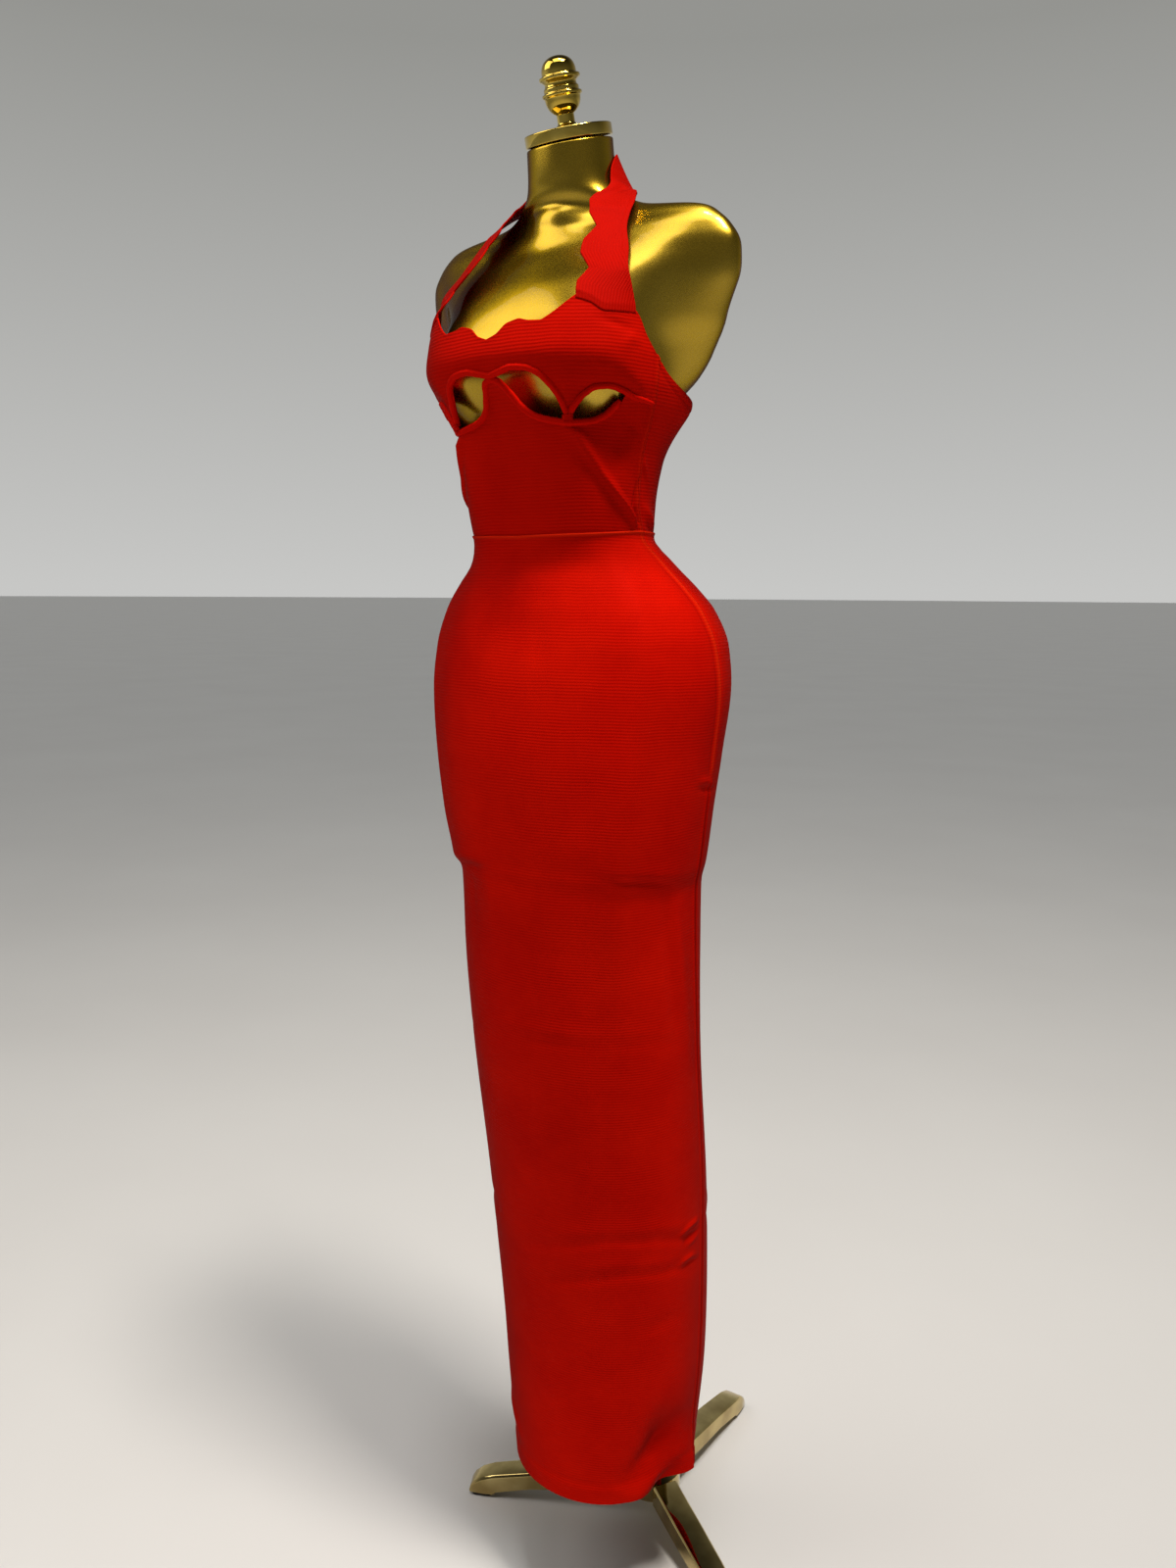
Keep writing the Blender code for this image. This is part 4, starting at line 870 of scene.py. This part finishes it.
def makeStrap(name, node, isRight):
    turns = np.linspace(strapSeamEdge[0, 0], strapSeamEdge[-1, 0], 200)
    width = stepsAlong(dressPoint(turns, alongTable(strapSeamEdge, turns)))[-1]
    places = edgedShares(strap["columns"], width)
    turns = turns[0] + places * (turns[-1] - turns[0])
    seam = alongTable(strapSeamEdge, turns)
    root = dressPoint(turns, seam + strap["root"], strap["lift"])
    bows = root - (root[0] + places[:, None] * (root[-1] - root[0]))

    # edge lines through the rungs, from the root up
    reach = root[0] - root[-1]
    innerStart = root[0] - reach / np.linalg.norm(reach) * strap["scallopDepth"]
    inner = np.concatenate([[innerStart], strapRungs[:, :3]])
    outer = np.concatenate([root[-1:], strapRungs[:, 3:]])
    if isRight:
        inner[1:1 + strap["rightRungs"]] += strap["rightInner"]
        outer[1:1 + strap["rightRungs"]] += strap["rightOuter"]
    stations = stepsAlong(inner)
    alongs = np.linspace(0, stations[-1], strap["rows"])
    for scallop in range(int(strap["scallops"])):      # a row on each point between two scallops
        cusp = (scallop + 0.5) * strap["scallopLength"]
        alongs[np.argmin(np.abs(alongs - cusp))] = cusp
    innerLine, outerLine = (np.stack([smooth(stations, line[:, k], alongs) for k in range(3)], -1)
                            for line in (inner, outer))
    crest = np.interp((alongs / strap["scallopLength"] + 0.5) % 1.0, *strap["crest"])
    last = strap["scallopLength"] * strap["scallops"]
    swell = np.where(alongs < last, strap["scallopDepth"] * crest, 0.0)
    direction = innerLine - outerLine
    direction /= np.linalg.norm(direction, axis=1, keepdims=True)
    innerLine = innerLine + direction * swell[:, None]
    flat = np.clip(1 - alongs / strap["flat"], 0, 1) ** 2
    rows = (innerLine[:, None, :] + places[None, :, None] * (outerLine - innerLine)[:, None, :]
            + bows * flat[:, None, None])
    rootRises = np.array([0, 0.0003, 0.0010, 0.0020, 0.0040, 0.0056]) - strap["overlap"]
    rootRows = dressPoint(turns, seam + rootRises[:, None], strap["lift"])
    face = np.concatenate([rootRows, rows])
    across, up = gridLengths(face)

    # soft waves across the strap where it is pulled over the shoulder and bends round the neck
    alongFull = np.concatenate([rootRises - strap["root"], alongs])[:, None]
    wave = (0.0010 * hump(alongFull - 0.148, 0.010) * np.sin(9 * places)
            - 0.0012 * hump(alongFull - 0.166 - 0.02 * places, 0.006)
            + 0.0009 * hump(alongFull - 0.118 + 0.015 * places, 0.007))
    normal = np.cross(np.gradient(face, axis=1), np.gradient(face, axis=0))
    normal /= np.linalg.norm(normal, axis=2, keepdims=True)
    # rolled edges, with a stitched line inside the outer one
    thick = cloth["strapThickness"]
    fromOuter = across[:, -1:] - across
    roll = rimRoll(thick, across, fromOuter, up)
    mark = -0.0004 * hump(fromOuter - 0.006, 0.0009)
    skins = [face + normal * (wave + depth)[..., None] for depth in (mark - roll, roll - thick)]
    uv = np.stack([across, up], axis=-1)
    if isRight:
        skins = [skin[:, ::-1] * (-1.0, 1.0, 1.0) for skin in skins]
        uv = uv[:, ::-1] * (-1.0, 1.0)
    return finishPiece(shellObject(name, *skins, uv), name, strapKnit, node)


strapLeft = makeStrap("strapLeft", "strap_left", False)
strapRight = makeStrap("strapRight", "strap_right", True)
print("straps made")


# rolled piping

def makeTube(name, points, radii, sides, uvWidth):
    # a round roll along a line, closed at both ends
    count = len(points)
    tangent = np.gradient(points, axis=0)
    tangent /= np.linalg.norm(tangent, axis=1, keepdims=True)
    side = np.cross(tangent, (0.0, 0.0, 1.0))
    side /= np.linalg.norm(side, axis=1, keepdims=True)
    angles = np.linspace(0, 2 * pi, sides, endpoint=False)[None, :, None]
    ring = side[:, None] * np.cos(angles) + np.cross(side, tangent)[:, None] * np.sin(angles)
    body = points[:, None] + ring * radii[:, None, None]
    ends = [points[0] - tangent[0] * radii[0] * 0.4, points[-1] + tangent[-1] * radii[-1] * 0.4]
    index = np.arange(count * sides).reshape(count, sides)
    index = np.concatenate([index, index[:, :1]], axis=1)
    caps = [(count * sides, j, k) for j, k in zip(index[0], index[0, 1:])]
    caps += [(count * sides + 1, k, j) for j, k in zip(index[-1], index[-1, 1:])]
    along = stepsAlong(points)
    around = np.linspace(0, uvWidth, sides, endpoint=False)
    uv = np.stack([np.repeat(along, sides), np.tile(around, count)], -1)
    obj = addMesh(name, np.concatenate([body.reshape(-1, 3), ends]),
                  gridFaces(index).tolist() + caps,
                  np.concatenate([uv, [[0, 0], [along[-1], 0]]]))
    faceOutward(obj)
    return obj


def makePiping(name, node, table, end, seed):
    turns = np.linspace(-end, end, piping["points"])
    centre = dressPoint(turns, alongTable(table, np.abs(turns)), -piping["sunk"])
    wobble = 0.00010 * np.sin(turns * 1.7 + seed) + 0.00008 * np.sin(turns * 4.3 + 2 * seed)
    radii = piping["radius"] * pipingSize(turns) + wobble
    full = smoothStep((end - np.abs(turns)) / piping["endLong"])
    radii = radii * (piping["endSize"] + (1 - piping["endSize"]) * full)
    obj = makeTube(name, centre, radii, piping["sides"], 2 * pi * piping["radius"])
    return finishPiece(obj, name, pipingKnit, node)


bustPiping = makePiping("bustPiping", "bust_piping", bandEdge, piping["bandEnd"], 0.4)
midriffPiping = makePiping("midriffPiping", "midriff_piping", midriffEdge, piping["midriffEnd"],
                           2.1)

# bar tacks: a few turns of thread that hold the two rolls together where they meet
tack = {"turns": (-31.5, 31.5), "height": 1.3434, "threads": 6, "pitch": 0.00085,
        "radius": 0.00042, "lean": 0.0006, "sunk": 0.92,
        "spread": 0.9 * 0.0110 / 0.00205}       # in degrees, of 2.05 mm each


def makeTacks():
    made = []
    spread = np.linspace(-0.5, 0.5, 13)
    # each thread arches over the rolls, and its ends go in
    arch = (piping["radius"] * tack["sunk"] + 0.0006 * np.cos(spread * pi)
            - 0.0012 * (np.abs(spread) > 0.49))
    for place, turn in enumerate(tack["turns"]):
        for k in range(tack["threads"]):
            height = tack["height"] + (k - 0.5 * (tack["threads"] - 1)) * tack["pitch"]
            points = dressPoint(turn + spread * tack["spread"],
                                height + tack["lean"] * sin(1.7 * k + place) * spread, arch)
            radii = np.full(len(points), tack["radius"])
            made.append(makeTube(f"thread{place}{k}", points, radii, 8, 0.003))
    useOnly(made[0])
    for obj in made:
        obj.select_set(True)
    bpy.ops.object.join()
    return finishPiece(made[0], "barTacks", pipingKnit)


barTacks = makeTacks()
print("piping made")


# dress form

def makeForm():
    # the shell: outer and inner skins, with both rims rounded over
    columns = np.arange(form["columns"]) * 360.0 / form["columns"]
    span = form["top"] - form["bottom"]
    shares = edgedShares(form["rows"], span, (0.0003, 0.0008, 0.0015, 0.0025, 0.004))
    shoulder = np.linspace(*form["shoulderRows"])       # nearly level, so its rows are closer
    heights = np.sort(np.concatenate([form["bottom"] + span * shares, shoulder]))
    turns, levels = np.meshgrid(columns, heights)
    roll = rimRoll(form["wall"], levels - form["bottom"], form["top"] - levels)
    return shellObject("formShell", formPoint(turns, levels, -roll),
                       formPoint(turns, levels, -form["wall"] + roll), closed=True)


formShell = finishPiece(makeForm(), "formShell", goldPaintMaterial(), "form_shell")

board = {"low": 0.905, "thick": 0.012, "gap": 0.0012, "bevel": 0.0012, "corners": 96}
ringTurns = np.arange(board["corners"]) * 360.0 / board["corners"]
ring = formPoint(ringTurns, board["low"] + 0 * ringTurns, -(form["wall"] + board["gap"]))
formBoard = addSolid(bpy.ops.mesh.primitive_circle_add, vertices=board["corners"],
                     fill_type="NGON")
for vert, place in zip(formBoard.data.vertices, ring):
    vert.co = place
with editing(formBoard):
    bpy.ops.mesh.select_all(action="SELECT")
    bpy.ops.mesh.extrude_region_move(TRANSFORM_OT_translate={"value": (0, 0, board["thick"])})
faceOutward(formBoard)
roundCorners(formBoard, board["bevel"], 2, 30)
finishPiece(formBoard, "formBoard", boardMaterial(), "form_board", 30)
print("form made")


# neck cap and finial

neck = {"top": Vector((0.0, -0.1512, 1.6185)), "lean": radians(17.0), "seat": 0.0012,
        "capRadius": 0.0432, "capThick": 0.0110, "capEdge": 0.0012, "capRim": 0.0032,
        "grooveWide": 0.0010, "grooveDeep": 0.0006, "beadSwell": 1.07, "gap": 0.0003}
# radius and height up the finial's axis, at the seat, waists, beads, rings and dome
finialProfile = np.reshape((
    13,0, 13,1.2, 9.8,3.6, 8,6.2, 8,13, 10.5,15, 14,19, 15.9,24, 16.5,28, 18.2,29.6, 18.2,31.4,
    16.1,32.8, 16.1,35.8, 14.8,37.8, 14.4,40, 16,42, 18.6,44.1, 18.6,46, 15.9,47.6, 15.6,51.5,
    14.3,56.2, 11.2,60.2, 7,62.7, 3.5,63.6, 0,63.8
), (-1, 2)) / 1000
lean = Matrix.Rotation(neck["lean"], 4, "X")
capMiddle = neck["seat"] + 0.5 * neck["capThick"]
neckCap = addSolid(bpy.ops.mesh.primitive_cylinder_add, vertices=128, radius=neck["capRadius"],
                   depth=neck["capThick"], rotation=(neck["lean"], 0, 0),
                   location=neck["top"] + lean @ Vector((0, 0, capMiddle)))
with editing(neckCap):
    # a shallow ring turned into the top, inside the rounded rim
    selectFaces(neckCap, lambda place, normal: normal.z > 0.9)
    bpy.ops.mesh.inset(thickness=neck["capRim"])
    bpy.ops.mesh.inset(thickness=neck["grooveWide"])
    bpy.ops.transform.translate(value=lean @ Vector((0, 0, -neck["grooveDeep"])))
roundCorners(neckCap, neck["capEdge"], 4, 40)
finishPiece(neckCap, "neckCap", polishedGold, "neck_cap", 30)

chord = stepsAlong(finialProfile)
fine = np.linspace(0, chord[-1], 130)
turned = np.stack([smooth(chord, finialProfile[:, 0], fine) * neck["beadSwell"], 0 * fine,
                   smooth(chord, finialProfile[:, 1], fine)], -1)
finial = addMesh("finial", np.concatenate([[[0, 0, 0]], turned]), [],
                 edges=[(i, i + 1) for i in range(len(fine))])
with editing(finial):
    bpy.ops.mesh.select_all(action="SELECT")
    bpy.ops.mesh.spin(steps=72, angle=2 * pi, center=(0, 0, 0), axis=(0, 0, 1))
    bpy.ops.mesh.select_all(action="SELECT")
    bpy.ops.mesh.remove_doubles(threshold=0.00001)
faceOutward(finial)
seat = neck["seat"] + neck["capThick"] + neck["gap"]
finial.matrix_world = Matrix.Translation(neck["top"]) @ lean @ Matrix.Translation((0, 0, seat))
finishPiece(settle(finial), "finial", polishedGold, "finial", 50)
print("neck cap and finial made")


# stand

stand = {"hub": Vector((0.0, 0.038, 0.0)), "hubRadius": 0.036, "hubLow": 0.026, "hubTop": 0.066,
         "hubTopRadius": 0.022, "hubUnder": 0.008, "hubDraw": 0.010, "hubEdge": 0.0018,
         "poleRadius": 0.0125, "poleSunk": 0.02,
         "poleTop": Vector((0.0, -0.058, 0.9035)), "collarRadius": 0.019,
         "collarLength": 0.042, "socketRadius": 0.019, "socketLength": 0.060, "edge": 0.0009,
         "gap": 0.0003}
poleFoot = stand["hub"] + Vector((0, 0, stand["hubTop"]))
poleWay = (stand["poleTop"] - poleFoot).normalized()
poleTall = (stand["poleTop"] - poleFoot).length
boardUnder = board["low"] - stand["gap"]
hubOver = stand["hubTop"] + stand["gap"]


def makeRound(name, node, radius, low, high, cutLow=None, cutHigh=None):
    # a turned rod or sleeve along the pole, cut level where it meets the hub or the board
    obj = addSolid(bpy.ops.mesh.primitive_cylinder_add, vertices=64, radius=radius,
                   depth=high - low, location=poleFoot + poleWay * (0.5 * (low + high)),
                   rotation=Vector((0, 0, 1)).rotation_difference(poleWay).to_euler())
    with editing(obj):
        for level, inward in ((cutLow, True), (cutHigh, False)):
            if level is not None:
                bpy.ops.mesh.select_all(action="SELECT")
                bpy.ops.mesh.bisect(plane_co=(0, 0, level), plane_no=(0, 0, 1), use_fill=True,
                                    clear_inner=inward, clear_outer=not inward)
    roundCorners(obj, stand["edge"], 3, 40)
    finishPiece(obj, name, champagneGold, node, 35)


poleLow, poleHigh = -stand["poleSunk"], poleTall + stand["poleSunk"]
makeRound("pole", "pole", stand["poleRadius"], poleLow, poleHigh, hubOver, boardUnder)
makeRound("poleCollar", "pole_collar", stand["collarRadius"], poleLow, stand["collarLength"],
          hubOver)
makeRound("formSocket", "form_socket", stand["socketRadius"], poleTall - stand["socketLength"],
          poleHigh, None, boardUnder)

# hub: a cylinder whose top is drawn in and rounded over
straight = stand["hubTop"] - stand["hubLow"] - stand["hubDraw"]
baseHub = addSolid(bpy.ops.mesh.primitive_cylinder_add, vertices=96, radius=stand["hubRadius"],
                   depth=straight,
                   location=(0, stand["hub"].y, stand["hubLow"] + 0.5 * straight))
shrink = stand["hubTopRadius"] / stand["hubRadius"]
with editing(baseHub):
    selectFaces(baseHub, lambda place, normal: normal.z > 0.9)
    bpy.ops.mesh.extrude_region_move(TRANSFORM_OT_translate={"value": (0, 0, stand["hubDraw"])})
    bpy.ops.transform.resize(value=(shrink, shrink, 1.0),
                             center_override=(0, stand["hub"].y, stand["hubTop"]))
    bevelEdges(baseHub, stand["hubUnder"], 3,
               lambda a, b, edge: max(a.z, b.z) < stand["hubLow"] + 0.001)
roundCorners(baseHub, stand["hubEdge"], 3, 20)
finishPiece(baseHub, "baseHub", champagneGold, "base_hub", 35)

# leg sections out from the hub's axis: reach, top, under, half width
legSections = np.array((
    (36.4, 56, 30, 17.2), (100, 48, 22, 16.8), (160, 40, 17.5, 16), (205, 32.5, 8.5, 15.2),
    (211, 31.5, 4.3, 15), (226, 26.5, 4.3, 14.2), (236, 19.5, 4.3, 13), (242, 10.5, 4.3, 11.5)
)) / 1000
leg = {"shoulder": 0.0026, "edge": 0.0007,
       "turns": (("Back", "back", 91.5), ("FrontRight", "front_right", 210.0),
                 ("FrontLeft", "front_left", 329.0)),
       "padReach": 0.225, "padSize": (0.028, 0.024, 0.004), "padCorner": 0.006,
       "padEdge": 0.0006}


def isTopEdge(a, b, edge):
    # beside the flat top of a leg, and round its end
    tops = [face for face in edge.link_faces if face.normal.z > 0.35]
    atHub = max(a.x, b.x) < legSections[0, 0] + 0.0005
    return len(tops) == 1 and len(edge.link_faces) == 2 and not atHub


def makeLeg():
    # a block at the hub, drawn out section by section to the foot
    (start, top, under, half), (reach, *_) = legSections[:2].tolist()
    obj = addSolid(bpy.ops.mesh.primitive_cube_add, size=1.0,
                   location=(0.5 * (start + reach), 0, 0.5 * (top + under)),
                   scale=(reach - start, 2 * half, top - under))
    with editing(obj):
        bpy.context.tool_settings.mesh_select_mode = (False, False, True)
        for k, (nextReach, nextTop, nextUnder, nextHalf) in enumerate(legSections[1:].tolist()):
            selectFaces(obj, lambda place, normal, at=reach: place.x > at - 0.0004)
            if k:
                bpy.ops.mesh.extrude_region_move(
                    TRANSFORM_OT_translate={"value": (nextReach - reach, 0, 0)})
            nextMiddle = 0.5 * (nextTop + nextUnder)
            bpy.ops.transform.translate(value=(0, 0, nextMiddle - 0.5 * (top + under)))
            bpy.ops.transform.resize(value=(1.0, nextHalf / half,
                                            (nextTop - nextUnder) / (top - under)),
                                     center_override=(nextReach, 0, nextMiddle))
            reach, top, under, half = nextReach, nextTop, nextUnder, nextHalf
        bevelEdges(obj, leg["shoulder"], 1, isTopEdge)
    faceOutward(obj)
    roundCorners(obj, leg["edge"], 2, 24)
    return obj


def makePad():
    obj = addSolid(bpy.ops.mesh.primitive_cube_add, size=1.0, scale=leg["padSize"],
                   location=(leg["padReach"], 0, 0.5 * leg["padSize"][2]))
    with editing(obj):
        bevelEdges(obj, leg["padCorner"], 5, lambda a, b, edge: abs(a.z - b.z) > 0.002)
    roundCorners(obj, leg["padEdge"], 2, 50)
    return obj


masters = ((makeLeg(), "leg", "leg_", "gold_plate", champagneGold, 22),
           (makePad(), "footPad", "foot_pad_", "foot_rubber", rubberMaterial(), 35))
for title, node, turn in leg["turns"]:
    place = Matrix.Translation(stand["hub"]) @ Matrix.Rotation(radians(turn), 4, "Z")
    for master, name, nodeStart, slotName, mat, smoothAngle in masters:
        obj = addObject(name + title, master.data.copy())
        obj.matrix_world = place
        finishPiece(settle(obj), name + title, mat, nodeStart + node, smoothAngle)
for master in masters:
    bpy.data.objects.remove(master[0], do_unlink=True)
print("stand made")


# floor, light and camera

def floorMaterial():
    # polished pale stone-effect floor: soft reflections near the foot of the stand
    mat, add = newMaterial("paleFloor", Roughness=0.40, IOR=1.45)
    place = add("TexCoord", out="Object")
    cloud = add("TexNoise", {"Vector": place, "Scale": 1.2, "Detail": 4.0})
    colour = add("Mix", {0: cloud, 6: "#cccbc9", 7: "#d6d6d4"}, **mixed)
    return feedShader(mat, Base_Color=colour)


floor = addSolid(bpy.ops.mesh.primitive_circle_add, vertices=64, radius=160.0, fill_type="NGON")
floor.name = "floor"
floor.data.materials.append(floorMaterial())

lights = {
    # name: kind, place, target, strength, colour, and its size or angle
    "key": ("AREA", (1.28, -0.50, 4.20), (0.06, -0.14, 1.05), 128.0, "#fff6ec", (0.6, 0.6)),
    "overhead": ("AREA", (0.3, -0.6, 3.1), (0.0, -0.12, 0.9), 16.0, "#fffaf4", (1.4, 1.0)),
    "leftHigh": ("AREA", (-1.35, -1.50, 3.00), (0.0, -0.18, 1.30), 30.0, "#fff8f0", (1.8, 1.8)),
    "broadLight": ("SUN", (0.12, -0.16, 1.25), (0.0, 0.0, 0.0), 0.86, "#ffffff", 8.0),
}
for name, (kind, place, target, strength, colour, size) in lights.items():
    data = bpy.data.lights.new(name, kind)
    data.energy, data.color = strength, linear(colour)[:3]
    if kind == "AREA":
        data.shape = "RECTANGLE"
        data.size, data.size_y = size
    else:
        data.angle = radians(size)
    lamp = addObject(name, data)
    lamp.location = place
    lamp.rotation_euler = (Vector(target) - Vector(place)).to_track_quat("-Z", "Y").to_euler()

# a pale room: light walls at eye level, a darker ceiling and a dim side for the metal to mirror
world = bpy.data.worlds.new("studio")
bpy.context.scene.world = world
world.use_nodes = True
add = partial(addNode, world.node_tree)
way = add("TexCoord", out="Generated")
up = add("SeparateXYZ", (way,), 2)
low = add("MapRange", (up, 0.0, 0.38, 0.0, 1.0))
high = add("MapRange", (up, 0.38, 0.95, 0.0, 1.0), **eased)
walls = add("Mix", {0: low, 6: "#dcdcda", 7: "#a4a4a0"}, **mixed)
sky = add("Mix", {0: high, 6: walls, 7: "#3a3a38"}, **mixed)
# the room is dimmer in front and to the right of the dress than behind it
ahead = add("VectorMath", (way, (-0.80, 0.60, 0.0)), "Value", operation="DOT_PRODUCT")
dim = add("MapRange", (ahead, -0.40, 0.55, 0.30, 1.0), **eased)
room = add("Mix", {0: 1.0, 6: sky, 7: dim}, blend_type="MULTIPLY", **mixed)
feed(world.node_tree, world.node_tree.nodes["Background"], {"Color": room, "Strength": 0.80})

cameraFacts = {"place": (0.7680, -1.1716, 1.1870), "azimuth": 36.0, "down": 9.1, "roll": 0.333,
               "lens": 27.9}
azimuth, down = radians(cameraFacts["azimuth"]), radians(cameraFacts["down"])
look = Vector((-sin(azimuth) * cos(down), cos(azimuth) * cos(down), -sin(down)))
cameraData = bpy.data.cameras.new("camera")
cameraData.sensor_fit, cameraData.sensor_height = "VERTICAL", 36.0
cameraData.lens = cameraFacts["lens"]
camera = addObject("camera", cameraData)
camera.matrix_world = (Matrix.Translation(cameraFacts["place"])
                       @ look.to_track_quat("-Z", "Y").to_matrix().to_4x4()
                       @ Matrix.Rotation(radians(cameraFacts["roll"]), 4, "Z"))
bpy.context.scene.camera = camera
bpy.context.scene.view_settings.view_transform = "Standard"

print("scene ready")
